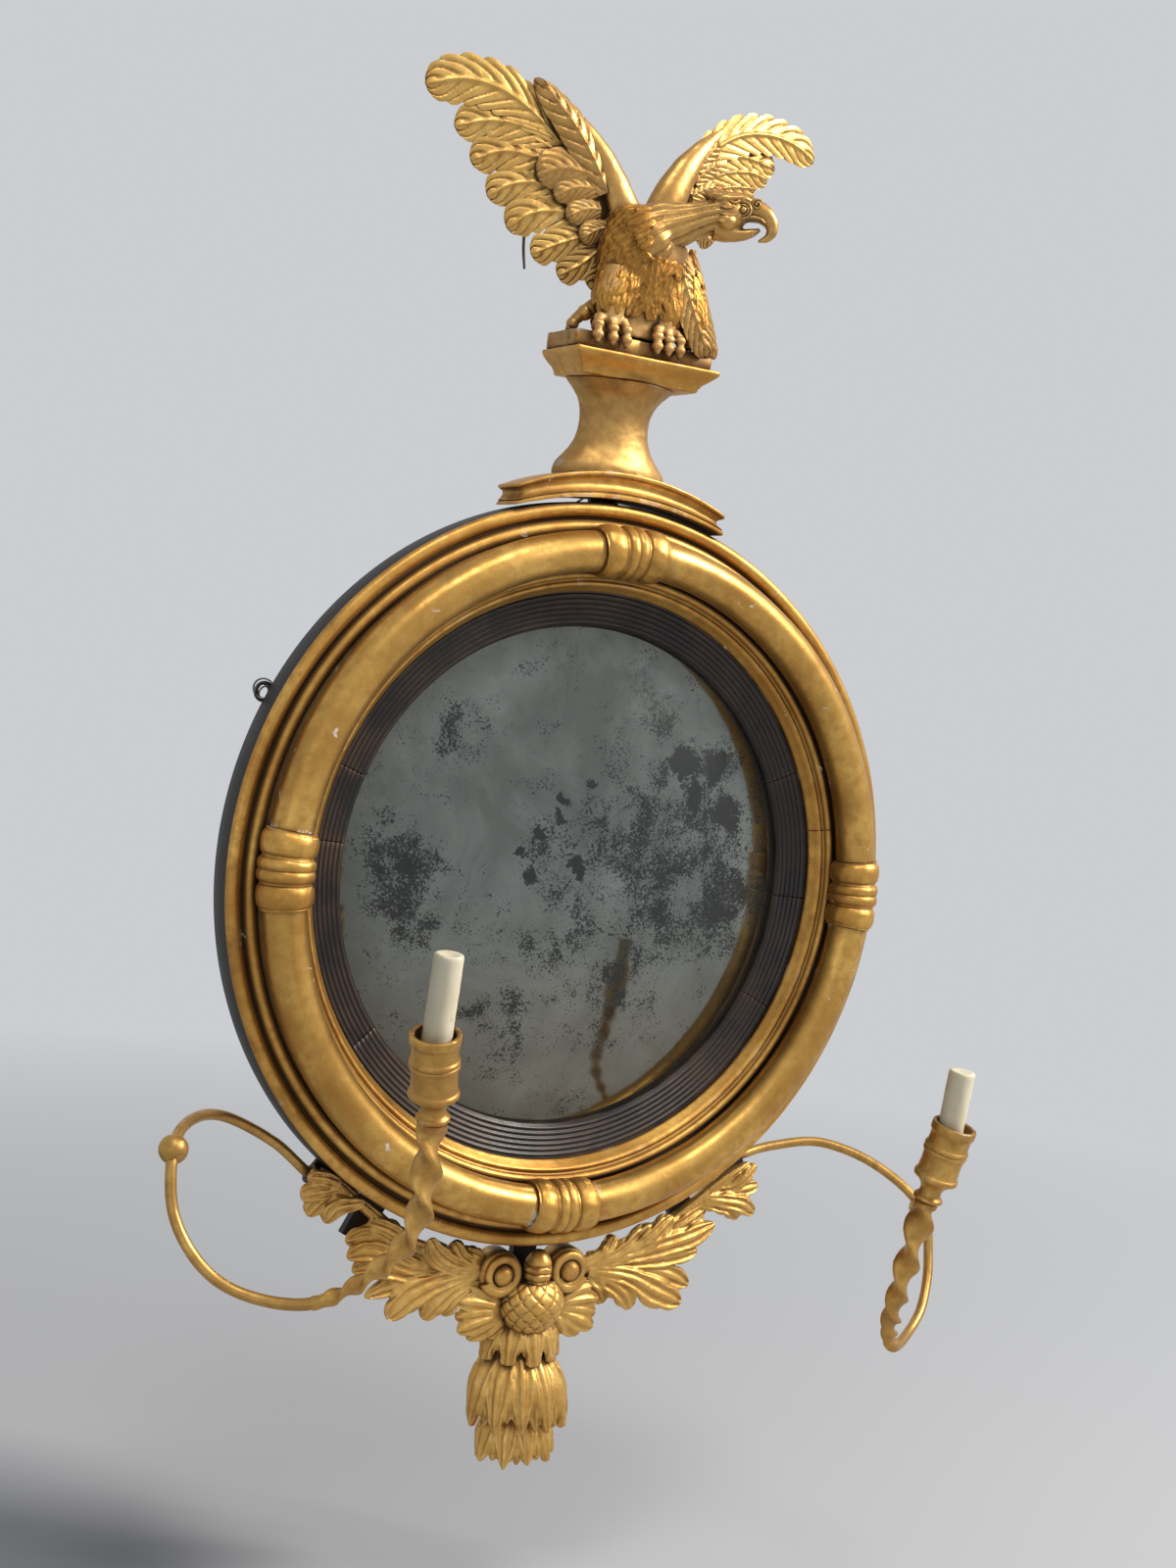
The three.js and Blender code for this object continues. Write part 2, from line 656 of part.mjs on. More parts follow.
// side -1 is the wing on the viewer's left; both sweep back towards the wall
function makeWing(side, neighbours) {
  const { rows, arm: armLine, covert: covertLine } = WINGS[side < 0 ? "left" : "right"];
  const place = (x, z, forward) => eagleAt(side * x, WING_SWEEP * x - WING_FRONT - forward, z);
  const feathers = fan(rows.map(([rootX, rootZ, viaX, viaZ, endX, endZ, tip]) => [
    place(rootX, rootZ, 2), place(viaX, viaZ, tip ? 5 : 2), place(endX, endZ, 0), tip ? FEATHER_RISE : 1,
  ]), FEATHER_THICK);
  const covert = blade(covertLine.map(([x, z]) => place(x, z, 3)), COVERT_HALF_W, 1.5 * FEATHER_THICK);
  const arm = limb(armLine.map(([x, z]) => place(x, z, 1)), [13, 18, 18, 16, 12, 5], { sides: 6, flat: 0.55 });
  return seated(join([feathers, covert, arm]), neighbours, 4 * GAP);
}

function makeTail(neighbours) {
  // [root, via, tip] of each feather from the viewer's right, the first past the block's corner
  const feathers = [
    [[46, -30, 76], [66, -42, 28], [66, -52, -11]],
    [[50, -22, 79], [69, -27, 30], [68, -34, -7]],
    [[41, -14, 76], [60, -14, 34], [58, -13, 3]],
    [[22, -9.5, 68], [36, -9.5, 32], [34, -9, 3]],
    [[4, -9, 66], [8, -9, 32], [7, -8.5, 3]],
    [[-10, -9, 66], [-16, -9, 32], [-18, -8.5, 3]],
  ];
  const point = (xyz) => eagleAt(...xyz);
  const rows = feathers.flatMap((feather, i) => {
    const ridge = feather.map(point);
    if (i + 1 === feathers.length) return [[...ridge, FEATHER_RISE]];
    const next = feathers[i + 1].map(point);
    const [root, via, tip] = ridge.map((at, k) => at.clone().lerp(next[k], 0.5));
    return [[...ridge, FEATHER_RISE], [root, via, tip.lerp(root, 0.14), 1]];
  });
  return seated(fan(rows, FEATHER_THICK), neighbours);
}

// ---------------------------------------------------------------- apron

const apronZ = -RING_R - APRON_DROP;
const apronBack = BACKBOARD_THICK;

function makeCleat() {
  const inner = backboardR + 5;
  const outer = RING_R - 6;
  const y0 = -BACKBOARD_THICK + GAP;
  const y1 = y0 + CLEAT_THICK;
  const band = skin(Array.from({ length: 9 }, (_, i) => {
    const angle = rad(-122 + 8 * i);
    return [[inner, y0], [outer, y0], [outer, y1], [inner, y1]].map(([r, y]) =>
      vec(r * Math.cos(angle), y, r * Math.sin(angle)));
  }));
  const centre = box(-10.5, 10.5, y0, y1, apronZ - 52, -inner - 8);
  const arms = [-118, -62].map((angle) => {
    const out = vec(Math.cos(rad(angle)), 0, Math.sin(rad(angle)));
    const along = vec(-out.z, 0, out.x);
    const row = (r) => [[-11, y0], [11, y0], [11, y1], [-11, y1]].map(([a, y]) =>
      vec(r * out.x + a * along.x, y, r * out.z + a * along.z));
    return skin([row(inner + 8), row(RING_R + 32)]);
  });
  return join([band, centre, ...arms]);
}

function makeBoss() {
  const middle = -apronBack - GAP - 0.74 * BOSS_R;
  const top = apronZ - 6;
  const scales = [0.02, 0.2, 0.45, 0.7, 0.9, 1].map((t) => {
    const r = BOSS_R * Math.sin(Math.PI * (0.16 + 0.7 * t)) ** 0.8;
    return [0, middle, top - BOSS_H * t, r, 0.8 * r];
  });
  const bud = [0, 0.25, 0.6, 1].map((t) => {
    const r = 9.5 * (0.6 + 0.4 * Math.sin(Math.PI * t));
    return [0, middle - 3, apronZ + 20 - 31 * t, r, r];
  });
  const flatBack = box(-60, 60, -apronBack - GAP, 20, apronZ - 90, apronZ + 60);
  return mainBody(egg(scales, 12).add(egg(bud, 8)).subtract(flatBack));
}

// The two old leaves are carved by hand and differ. Each row is [root x, root z, edge x, edge z, tip]
// from the volute outwards, with x measured away from the middle; tip is 1 for a lobe, 0 for a valley.
// ringR is the rim radius that the heights fit; on another ring they keep their distance from its rim.
const LEAF_ROWS = {
  ringR: 290,
  right: [
    [40, -300, 58, -333, 0], [52, -299, 82, -347, 1], [60, -300, 89, -340, 0], [70, -299, 99, -352, 1],
    [78, -294, 107, -341, 0], [90, -288, 140, -353, 1], [102, -284, 152, -340, 1], [110, -284, 150, -319, 0],
    [124, -284, 169, -299, 1], [145, -267, 167, -280, 0], [160, -258, 190, -281, 1],
    [170, -251, 199, -274, 0], [180, -243, 210, -278, 1], [188, -239, 208, -261, 0],
    [196, -235, 216, -252, 1], [203, -232, 211, -236, 0],
  ],
  left: [
    [44, -306, 61, -331, 0], [54, -298, 74, -348, 1], [60, -291, 80, -342, 0], [66, -286, 93, -349, 1],
    [74, -283, 103, -343, 0], [84, -281, 119, -348, 1], [93, -283, 121, -332, 0], [99, -290, 148, -327, 1],
    [112, -284, 148, -300, 0], [124, -277, 165, -288, 1], [133, -262, 156, -274, 0],
    [148, -252, 166, -262, 0], [158, -246, 188, -266, 1], [172, -236, 202, -250, 1],
    [180, -228, 193, -237, 0], [190, -219, 198, -225, 0],
  ],
};
const STALKS = {
  right: [[40, -314], [66, -310], [95, -300], [128, -287], [152, -268], [175, -251], [199, -235]],
  left: [[40, -313], [66, -306], [92, -296], [118, -284], [142, -264], [164, -246], [188, -225]],
};

// how far a point of the leaves moves up or down to keep its distance from the rim
const rimShift = (x) => Math.sqrt(LEAF_ROWS.ringR ** 2 - x ** 2) - Math.sqrt(RING_R ** 2 - x ** 2);

// an acanthus spray: a long stalk that rolls up into a volute at the middle, with lobes below it
function makeLeaf(side, neighbours) {
  const key = side < 0 ? "left" : "right";
  const at = (x, z, depth) => vec(side * x, front(depth), z + rimShift(x));
  const stalk = blade(STALKS[key].map(([x, z]) => at(x, z, LEAF_DEPTH + 5)), 7, 9, { steps: 7 });
  const sheet = fan(LEAF_ROWS[key].map(([rootX, rootZ, edgeX, edgeZ, tip]) => {
    const via = at(0.5 * (rootX + edgeX), 0.5 * (rootZ + edgeZ), LEAF_DEPTH + (tip ? 8 : 3));
    const edge = at(edgeX, edgeZ, LEAF_DEPTH + 3 * tip);
    return [at(rootX, rootZ, LEAF_DEPTH - 3), via, edge, tip ? LOBE_RISE : 1];
  }), LEAF_THICK);
  const eye = vec(side * VOLUTE_X, front(GAP), apronZ);
  const scroll = join([[VOLUTE_R, 24], [0.55 * VOLUTE_R, 29]].map(([r, length]) =>
    bar(eye, eye.clone().add(vec(0, -length, 0)), r, 10)));
  const flatBack = box(-400, 400, front(GAP), 60, -600, 100);
  return seated(join([stalk, sheet, scroll]).subtract(flatBack), neighbours);
}

function makeSideLeaf(side, neighbours) {
  const edge = [[46, -7], [62, -21], [55, -28], [66, -37], [57, -41], [63, -49], [52, -48], [55, -56], [38, -50]];
  const rows = edge.map(([x, z], i) => {
    const tipRow = i % 2 === 1;
    const root = vec(side * 16, -22, apronZ - 18 - 2.5 * i);
    const via = vec(side * 0.6 * x, tipRow ? -30 : -25, apronZ - 9 + 0.8 * z);
    return [root, via, vec(side * x, -19, apronZ + z), tipRow ? 5 : 1];
  });
  return seated(fan(rows, LEAF_THICK), neighbours);
}

// a flat-backed bell of hanging husks: fluted round its front, with its rim cut into their tips
function makeHusks({ top, length, topR, endR, count, lean = [0, 0] }, neighbours) {
  const back = -apronBack - GAP;
  const perHusk = 3;
  const columns = count * perHusk;
  const shift = (t) => THREE.MathUtils.lerp(...lean, t);
  const levels = [[0, topR, 0], [0.25, 0.72, 0.4], [0.55, 1, 1], [0.8, 1.02, 1], [1, 0.9, 0.6]];
  const sections = levels.map(([t, spread, flute], level) => {
    const outline = Array.from({ length: columns + 1 }, (_, i) => {
      const turn = (Math.PI * i) / columns;
      const phase = Math.cos((2 * Math.PI * i) / perHusk);
      const r = (level === 0 ? topR : endR * spread) - HUSK_FLUTE * flute * (0.5 + 0.5 * phase);
      const tip = level < 3 ? 0 : (level - 2) * 0.5 * HUSK_NOTCH * (0.5 + 0.5 * phase);
      return vec(shift(t) - r * Math.cos(turn), back - HUSK_DEPTH * r * Math.sin(turn), top - length * t + tip);
    });
    const low = top - length * Math.min(t, 0.8);
    return [...outline, vec(shift(t) + 0.5 * topR, back, low), vec(shift(t) - 0.5 * topR, back, low)];
  });
  const flatBack = box(-100, 100, back, 60, -900, 0);
  return seated(skin(sections, true).subtract(flatBack), neighbours);
}

// ---------------------------------------------------------------- candle arms

// the arm's route on the viewer's right, as steps from its root behind the leaf tip
const ARM_ROOT = { angle: -49.4, out: 12, depth: 4.1 };
const ARM_ROUTE = [
  [0, 0, 0], [30.3, -1.2, 16.9], [74.8, -12, 31.3], [111, -44, 28.8], [134.7, -80, 11],
  [135.7, -95, -29], [118.4, -113, -61.2], [90.9, -130, -76.8], [56.5, -155, -75.8],
  [27.9, -180, -50.8], [11.5, -205, -10.4], [14.8, -219.7, 61.2],
];
const BALL_KNOT = 4;
const TWIST_KNOT = 8;

function armPoints(side) {
  const root = rimPoint(ARM_ROOT.angle, ARM_ROOT.out, ARM_ROOT.depth);
  const lift = side < 0 ? ARM_LIFT.left : ARM_LIFT.right;
  return ARM_ROUTE.map(([x, y, z], i) => {
    const share = Math.min(1, i / BALL_KNOT);
    return vec(side * (root.x + x), root.y + y, root.z + z + lift * share);
  });
}

// the stretch of the arm between two knots, as a curve of its own
function armStretch(side, from, to) {
  const whole = smoothCurve(armPoints(side));
  const last = ARM_ROUTE.length - 1;
  const steps = 4 * Math.ceil(to - from);
  return smoothCurve(Array.from({ length: steps + 1 }, (_, i) =>
    whole.getPoint(THREE.MathUtils.lerp(from, to, i / steps) / last)));
}

function tenonEnds(side) {
  const [root] = armPoints(side);
  const [x, y, z] = ARM_ROUTE[1];
  const inward = vec(-side * x, -y, -z).normalize();
  return [root, root.clone().addScaledVector(inward, TENON_L)];
}

function makeUpperWire(side) {
  const [root, end] = tenonEnds(side);
  const stretch = armStretch(side, 0, BALL_KNOT - 0.04).points;
  return wire(smoothCurve([end, end.clone().lerp(root, 0.5), ...stretch]), WIRE_R, 8, 16);
}

// the straight clearance that the arm's root needs in front of its socket
function armPassage(side) {
  const [, end] = tenonEnds(side);
  const [, beyond] = armPoints(side);
  return bar(end, beyond, WIRE_R + 2 * GAP, 8);
}

function makeLowerWire(side) {
  return wire(armStretch(side, BALL_KNOT + 0.06, TWIST_KNOT - 0.03), WIRE_R, 8, 10);
}

function makeBall(side, wires) {
  const centre = armPoints(side)[BALL_KNOT];
  const geometry = new THREE.SphereGeometry(BALL_R, 10, 7);
  geometry.translate(centre.x, centre.y, centre.z);
  return seated(toSolid(geometry), wires, GAP);
}

// two strands twisted together, growing thicker towards the candle, with a spigot on top
function makeTwist(side) {
  const curve = armStretch(side, TWIST_KNOT, ARM_ROUTE.length - 1);
  const steps = 22;
  const stem = swept(curve, steps, (s) => {
    const r = THREE.MathUtils.lerp(TWIST_START_R, TWIST_END_R, Math.min(1, 1.15 * s) ** 0.8);
    const turn = Math.PI * TWIST_HALF_TURNS * s;
    const lobe = TWIST_LOBE * Math.min(1, 4 * s);
    return Array.from({ length: 8 }, (_, i) => {
      const angle = (2 * Math.PI * i) / 8;
      const reach = r * (1 - lobe * Math.sin(angle) ** 2);
      return [reach * Math.cos(angle + turn), reach * Math.sin(angle + turn)];
    });
  });
  const { foot, axis } = nozzleFrame(side);
  const start = foot.clone().addScaledVector(axis, -NOZZLE_CLEAR - 4);
  const spigot = bar(start, foot.clone().addScaledVector(axis, SPIGOT_L), SPIGOT_R, 8);
  const seat = bar(start, foot.clone().addScaledVector(axis, -NOZZLE_CLEAR), 0.85 * TWIST_END_R, 8);
  return join([stem, seat, spigot]);
}

function nozzleFrame(side) {
  const top = armPoints(side).at(-1);
  const [x, y] = side < 0 ? NOZZLE_LEAN.left : NOZZLE_LEAN.right;
  const axis = vec(x, y, Math.sqrt(NOZZLE_H ** 2 - x ** 2 - y ** 2)).normalize();
  return { foot: top.clone().addScaledVector(axis, NOZZLE_CLEAR + 1), axis };
}

// a lathe solid stood on a point, with its axis turned to a direction
function stoodOn(profile, foot, axis, segments) {
  const geometry = new THREE.LatheGeometry(profile.map(([r, h]) => new THREE.Vector2(r, h)), segments);
  geometry.applyQuaternion(new THREE.Quaternion().setFromUnitVectors(vec(0, 1, 0), axis));
  geometry.translate(foot.x, foot.y, foot.z);
  return toSolid(geometry);
}

function makeNozzle(side) {
  const { foot, axis } = nozzleFrame(side);
  const h = NOZZLE_H;
  const wide = NOZZLE_RIM_R;
  const profile = [
    [0, SPIGOT_L + 1.5], [SPIGOT_R + GAP, SPIGOT_L + 1.5], [SPIGOT_R + GAP, 0],
    [NOZZLE_FOOT_R, 0], [NOZZLE_FOOT_R, 3.5], [NOZZLE_NECK_R, 6.5], [NOZZLE_NECK_R, 10],
    [wide, 18], [wide, 21.5], [NOZZLE_BODY_R, 23.5], [NOZZLE_BODY_R - 0.3, h - 24],
    [wide - 0.3, h - 22.5], [wide - 0.3, h - 17.5], [NOZZLE_BODY_R, h - 16], [NOZZLE_BODY_R - 0.2, h - 7.5],
    [wide, h - 5.5], [wide, h], [NOZZLE_BORE_R, h],
    [NOZZLE_BORE_R, h - NOZZLE_BORE_DEPTH], [0, h - NOZZLE_BORE_DEPTH],
  ];
  return stoodOn(profile, foot, axis, 10);
}

// the candle leans in its loose cup: its foot rests on the cup's floor and its side on the rim
function candleFrame(side) {
  const { foot, axis } = nozzleFrame(side);
  const key = side < 0 ? "left" : "right";
  const [x, y] = CANDLE_LEAN[key];
  const candleAxis = vec(x, y, CANDLE_ABOVE.left).normalize();
  const tilt = axis.angleTo(candleAxis);
  const rise = CANDLE_R * Math.sin(tilt) + 2 * GAP;
  const floor = foot.clone().addScaledVector(axis, NOZZLE_H - NOZZLE_BORE_DEPTH + rise);
  const room = NOZZLE_BORE_R - CANDLE_R - 0.6;
  const sideways = candleAxis.clone().addScaledVector(axis, -axis.dot(candleAxis)).normalize();
  const shift = Math.min(room, room - NOZZLE_BORE_DEPTH * Math.tan(tilt) + 0.3);
  return { base: floor.addScaledVector(sideways, shift), axis: candleAxis, length: CANDLE_SUNK + CANDLE_ABOVE[key] };
}

function makeCandle(side) {
  const { base, axis, length } = candleFrame(side);
  const profile = [[0, 0], [CANDLE_R - 0.6, 0], [CANDLE_R, 0.6], [CANDLE_R, length - 2],
    [CANDLE_R - 1.6, length], [0, length + 0.4]];
  return stoodOn(profile, base, axis, 10);
}

// an iron ferrule behind the leaf tip, on a plate fixed to the ring's back
function makeSocket(side, ring) {
  const [root, end] = tenonEnds(side);
  const outward = root.clone().sub(end).normalize();
  const outer = WIRE_R + GAP + SOCKET_WALL;
  const floor = end.clone().addScaledVector(outward, -2 * GAP);
  const tube = bar(end.clone().addScaledVector(outward, -4), root.clone().addScaledVector(outward, -2), outer, 12);
  const bore = bar(floor, root.clone().addScaledVector(outward, 5), WIRE_R + 2 * GAP, 12);
  const middle = end.clone().lerp(root, 0.4);
  const inward = vec(-middle.x, 0, -middle.z).normalize();
  const along = vec(inward.z, 0, -inward.x);
  const y0 = -BACKBOARD_THICK + GAP;
  const row = (distance) => [[-9, y0], [9, y0], [9, y0 + 3.5], [-9, y0 + 3.5]].map(([a, y]) => {
    const p = middle.clone().addScaledVector(inward, distance).addScaledVector(along, a);
    return vec(p.x, y, p.z);
  });
  const plate = skin([row(1), row(RING_R - backboardR - 4)]);
  return seated(tube.add(plate).subtract(bore), [ring], GAP);
}

// ---------------------------------------------------------------- hanging hardware

function eyeCentre(side) {
  const p = rimPoint(HANGER_ANGLE, -1, 0);
  return vec(side < 0 ? p.x : -p.x, -HANGER_PROUD, p.z);
}

// where the wire starts to bend over its peak, on one side
const bendStart = (side) => vec(side * PEAK_BEND_R, -HANGER_PROUD, HANGING_PEAK - PEAK_BEND_DROP);

// a point on the straight run of the wire, at a distance from the middle of the eye
function onWire(side, distance) {
  const centre = eyeCentre(side);
  return centre.clone().addScaledVector(bendStart(side).sub(centre).normalize(), distance);
}

// an iron plate on the ring's back with a stem and an eye, and the wound end of the hanging wire
function makeHanger(side) {
  const centre = eyeCentre(side);
  const outward = vec(centre.x, 0, centre.z).normalize();
  const along = vec(-outward.z, 0, outward.x);
  const eye = new THREE.TorusGeometry(EYE_R, EYE_WIRE_R, 6, 10);
  eye.applyMatrix4(new THREE.Matrix4().makeBasis(outward, along, vec(0, -1, 0)).setPosition(centre));
  const y0 = -BACKBOARD_THICK + GAP;
  const row = (r) => [[-6, y0], [6, y0], [6, y0 + HANGER_PLATE], [-6, y0 + HANGER_PLATE]].map(([a, y]) =>
    centre.clone().addScaledVector(outward, r).addScaledVector(along, a).setY(y));
  const plate = skin([row(-30), row(-EYE_R - 4)]);
  const inward = (r) => centre.clone().addScaledVector(outward, -r);
  const stem = bar(inward(EYE_R), inward(EYE_R + 14), 2.6, 8);
  const winding = bar(onWire(side, EYE_R - 0.5), onWire(side, WINDING_END), WINDING_R, 8);
  return mainBody(join([toSolid(eye), plate, stem, winding]));
}

function makeHangingWire() {
  const run = (side) => [0, 0.1, 0.5, 0.9].map((s) => onWire(side, WINDING_END).lerp(bendStart(side), s));
  const bend = [-1, -0.5, 0, 0.5, 1].map((u) =>
    vec(u * PEAK_BEND_R, -HANGER_PROUD, HANGING_PEAK - PEAK_BEND_DROP * u * u));
  return wire(smoothCurve([...run(-1), ...bend, ...run(1).reverse()]), HANGING_WIRE_R, 6, 14);
}

// ---------------------------------------------------------------- finishes

const finish = (color, roughness, metalness) => new THREE.MeshStandardMaterial({ color, roughness, metalness });
const GILT = { color: 0xb98d3c, roughness: 0.42, metalness: 0.85 };
const gilt = () => finish(GILT.color, GILT.roughness, GILT.metalness);
const blackPaint = () => finish(0x17130f, 0.6, 0);
const ebony = () => finish(0x1d1a1c, 0.35, 0);
const silvering = () => finish(0x7d857f, 0.1, 1);
const pine = () => finish(0x8a6a45, 0.8, 0);
const iron = () => finish(0x3a332c, 0.6, 0.8);
const wax = () => finish(0xe9e0c4, 0.45, 0);

// ---------------------------------------------------------------- assembly

const girandole = new THREE.Group();

function add(name, solid, material) {
  const mesh = new THREE.Mesh(toGeometry(solid), material);
  mesh.name = name;
  girandole.add(mesh);
  return solid;
}

const ring = add("frame_ring", cutForScrews(makeRing()), gilt());
["right_top", "left_top", "left_bottom", "right_bottom"].forEach((name, quarter) => {
  add(`hoop_${name}`, makeHoop(quarter), gilt());
});
["right", "top", "left", "bottom"].forEach((name, quarter) => {
  add(`collar_${name}`, makeCollar(quarter), gilt());
});
add("inner_moulding", makeInnerMoulding(), gilt());
add("slip_ring", makeSlip(), ebony());
add("mirror_plate", makeMirror(), silvering());
for (let i = 0; i < BLOCK_COUNT; i += 1) {
  add(`glass_block_${i + 1}`, makeGlassBlock(i), pine());
}
add("backboard", makeBackboard(), pine());
for (let i = 0; i < SCREW_COUNT; i += 1) {
  add(`backboard_screw_${i + 1}`, screwSolid(i, 0), iron());
}

const base = add("plinth_base", makePlinthBase(), gilt());
add("plinth_shaft", makePlinthShaft(base), gilt());
add("plinth_slab", makePlinthSlab(), gilt());
add("plinth_strap", makePlinthStrap(), iron());
const block = add("eagle_block", makeEagleBlock(), gilt());
const body = add("eagle_body", makeEagleBody(block), gilt());
for (const side of [-1, 1]) {
  add(`eagle_foot_${side < 0 ? "left" : "right"}`, makeEagleFoot(side, block, body), gilt());
}
const head = add("eagle_head", makeEagleHead(body), gilt());
add("eagle_wing_left", makeWing(-1, [body, head]), gilt());
add("eagle_wing_right", makeWing(1, [body, head]), gilt());
add("eagle_tail", makeTail([body, block]), gilt());

const armRoots = {};
for (const side of [-1, 1]) {
  const name = side < 0 ? "left" : "right";
  const socket = add(`arm_socket_${name}`, makeSocket(side, ring), iron());
  const upperWire = add(`arm_wire_${name}`, makeUpperWire(side), gilt());
  armRoots[side] = [socket, armPassage(side)];
  const lowerWire = add(`arm_loop_${name}`, makeLowerWire(side), gilt());
  add(`arm_ball_${name}`, makeBall(side, [upperWire, lowerWire]), gilt());
  add(`arm_twist_${name}`, makeTwist(side), gilt());
  add(`nozzle_${name}`, makeNozzle(side), gilt());
  add(`candle_${name}`, makeCandle(side), wax());
  add(`hanger_${name}`, makeHanger(side), iron());
}

add("apron_cleat", makeCleat(), blackPaint());
const boss = add("apron_boss", makeBoss(), gilt());
const leaves = [-1, 1].map((side) =>
  add(`apron_leaf_${side < 0 ? "left" : "right"}`, makeLeaf(side, [boss, ...armRoots[side]]), gilt()));
const calyx = add("apron_calyx", makeHusks(
  { top: apronZ - 42, length: 36, topR: 20, endR: 34, count: 6 }, [boss, ...leaves],
), gilt());
for (const side of [-1, 1]) {
  add(`side_leaf_${side < 0 ? "left" : "right"}`, makeSideLeaf(side, [boss, calyx, ...leaves]), gilt());
}
const upper = add("pendant_upper", makeHusks(
  { top: apronZ - 62, length: PENDANT_UPPER_L, topR: 22, endR: 43, count: 6, lean: [0, 4] }, [calyx],
), gilt());
add("pendant_lower", makeHusks(
  { top: apronZ - 106, length: PENDANT_LOWER_L, topR: 16, endR: 33, count: 5, lean: [4, 5] }, [upper],
), gilt());

add("hanging_wire", makeHangingWire(), iron());

export default girandole;
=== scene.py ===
import math

import bmesh
import bpy
import numpy as np
from mathutils import Matrix
from mathutils.bvhtree import BVHTree


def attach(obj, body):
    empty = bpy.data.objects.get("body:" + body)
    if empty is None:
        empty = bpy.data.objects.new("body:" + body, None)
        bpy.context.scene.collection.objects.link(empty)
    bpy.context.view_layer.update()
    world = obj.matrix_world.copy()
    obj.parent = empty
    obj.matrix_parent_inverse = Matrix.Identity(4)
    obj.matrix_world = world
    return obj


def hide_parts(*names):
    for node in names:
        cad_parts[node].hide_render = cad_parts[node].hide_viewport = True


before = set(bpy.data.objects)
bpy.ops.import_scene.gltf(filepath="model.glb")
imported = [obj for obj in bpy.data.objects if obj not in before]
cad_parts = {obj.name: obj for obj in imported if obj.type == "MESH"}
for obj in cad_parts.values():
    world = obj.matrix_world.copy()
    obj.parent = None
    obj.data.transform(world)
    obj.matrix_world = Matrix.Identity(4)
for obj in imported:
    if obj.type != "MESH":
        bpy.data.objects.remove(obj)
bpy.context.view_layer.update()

# Lengths are millimetres in the part's own frame; the camera's, the lamps' and the floor's are metres.
MM = 0.001
EAGLE_FOOT = 413.9
RING_BACK = 10.0
HOOP_R = 252.6
HOOP_MIDDLE = 43.6
GLASS_R = 196.0
APRON_Z = -313.0
FRONT = np.array([0.0, -1.0, 0.0])
UP = (0, 0, 1)


# ------------------------------------------------------------------ shapes as point grids
def unit(v):
    v = np.asarray(v, float)
    return v / np.maximum(np.linalg.norm(v, axis=-1, keepdims=True), 1e-9)


def around(count):
    """angles all the way round"""
    return np.linspace(0, 2 * np.pi, count, endpoint=False)


def noise(points, size, seed):
    """smooth value noise from -1 to 1 at points, with cells of that size"""
    p = np.asarray(points, float) / size + 31.7 * seed
    cell = np.floor(p).astype(np.int64)
    f = p - cell
    f = f * f * (3 - 2 * f)
    total = 0
    for k in range(8):
        d = np.array([k & 1, k >> 1 & 1, k >> 2 & 1])
        c = cell + d
        h = (c[..., 0] * 73856093) ^ (c[..., 1] * 19349663) ^ (c[..., 2] * 83492791)
        h = ((h & 0x7FFFFFFF) * 1103515245 + 12345) & 0x7FFFFFFF
        h = (h >> 7) & 0xFFFF
        total = total + (h / 0x7FFF - 1) * np.prod(np.where(d == 1, f, 1 - f), axis=-1)
    return total


def with_ends(p):
    """the knots, and one more beyond each end"""
    return np.vstack([2 * p[0] - p[1], p, 2 * p[-1] - p[-2]])


def between(a, b, c, d, t):
    """a smooth curve from b to c, on its way from a to d"""
    return 0.5 * (2 * b + (c - a) * t + (2 * a - 5 * b + 4 * c - d) * t**2 + (3 * b - a - 3 * c + d) * t**3)


def line_length(line):
    return np.linalg.norm(np.diff(line, axis=0), axis=1).sum()


def smooth(points, count):
    """evenly spread points of a smooth curve through the given ones"""
    p = np.asarray(points, float)
    if len(p) == 2:
        fine = p[0] + np.linspace(0, 1, 50)[:, None] * (p[1] - p[0])
    else:
        q = with_ends(p)
        fine = []
        for i in range(len(p) - 1):
            t = np.linspace(0, 1, 24, endpoint=i == len(p) - 2)[:, None]
            fine.append(between(*q[i : i + 4], t))
        fine = np.vstack(fine)
    length = np.r_[0, np.cumsum(np.linalg.norm(np.diff(fine, axis=0), axis=1))]
    at = np.linspace(0, length[-1], count)
    return np.stack([np.interp(at, length, fine[:, k]) for k in range(fine.shape[1])], axis=1)


def spread(values, count):
    """a row of numbers eased out to that count"""
    values = np.asarray(values, float)
    s = np.linspace(0, len(values) - 1, count)
    i = np.minimum(s.astype(int), len(values) - 2)
    f = s - i
    f = f * f * (3 - 2 * f) * 0.5 + f * 0.5
    return values[i] * (1 - f) + values[i + 1] * f


def frames(line, face):
    """across and up at each point of a line, with up kept close to face"""
    tangent = unit(np.gradient(line, axis=0))
    face = np.broadcast_to(np.asarray(face, float), line.shape)
    up = unit(face - tangent * np.sum(face * tangent, axis=1, keepdims=True))
    return np.cross(tangent, up), up


def carried(line, start_up):
    """frames carried along a line without twist"""
    tangent = unit(np.gradient(line, axis=0))
    ups = []
    up = np.asarray(start_up, float)
    for t in tangent:
        up = unit(up - t * up.dot(t))
        ups.append(up)
    ups = np.array(ups)
    return np.cross(tangent, ups), ups


def tube(points, radii, sides, rows, flat=1.0, up=FRONT):
    """a limb along a smooth line; radii are given at even steps"""
    line = smooth(points, rows)
    across, ups = carried(line, up)
    angle = around(sides)[None]
    r = spread(radii, rows)[:, None]
    a, b = r * np.cos(angle), flat * r * np.sin(angle)
    return line[:, None] + across[:, None] * a[..., None] + ups[:, None] * b[..., None]


# a carved feather's underside is a little narrower than its face
UNDERSIDE = 0.94


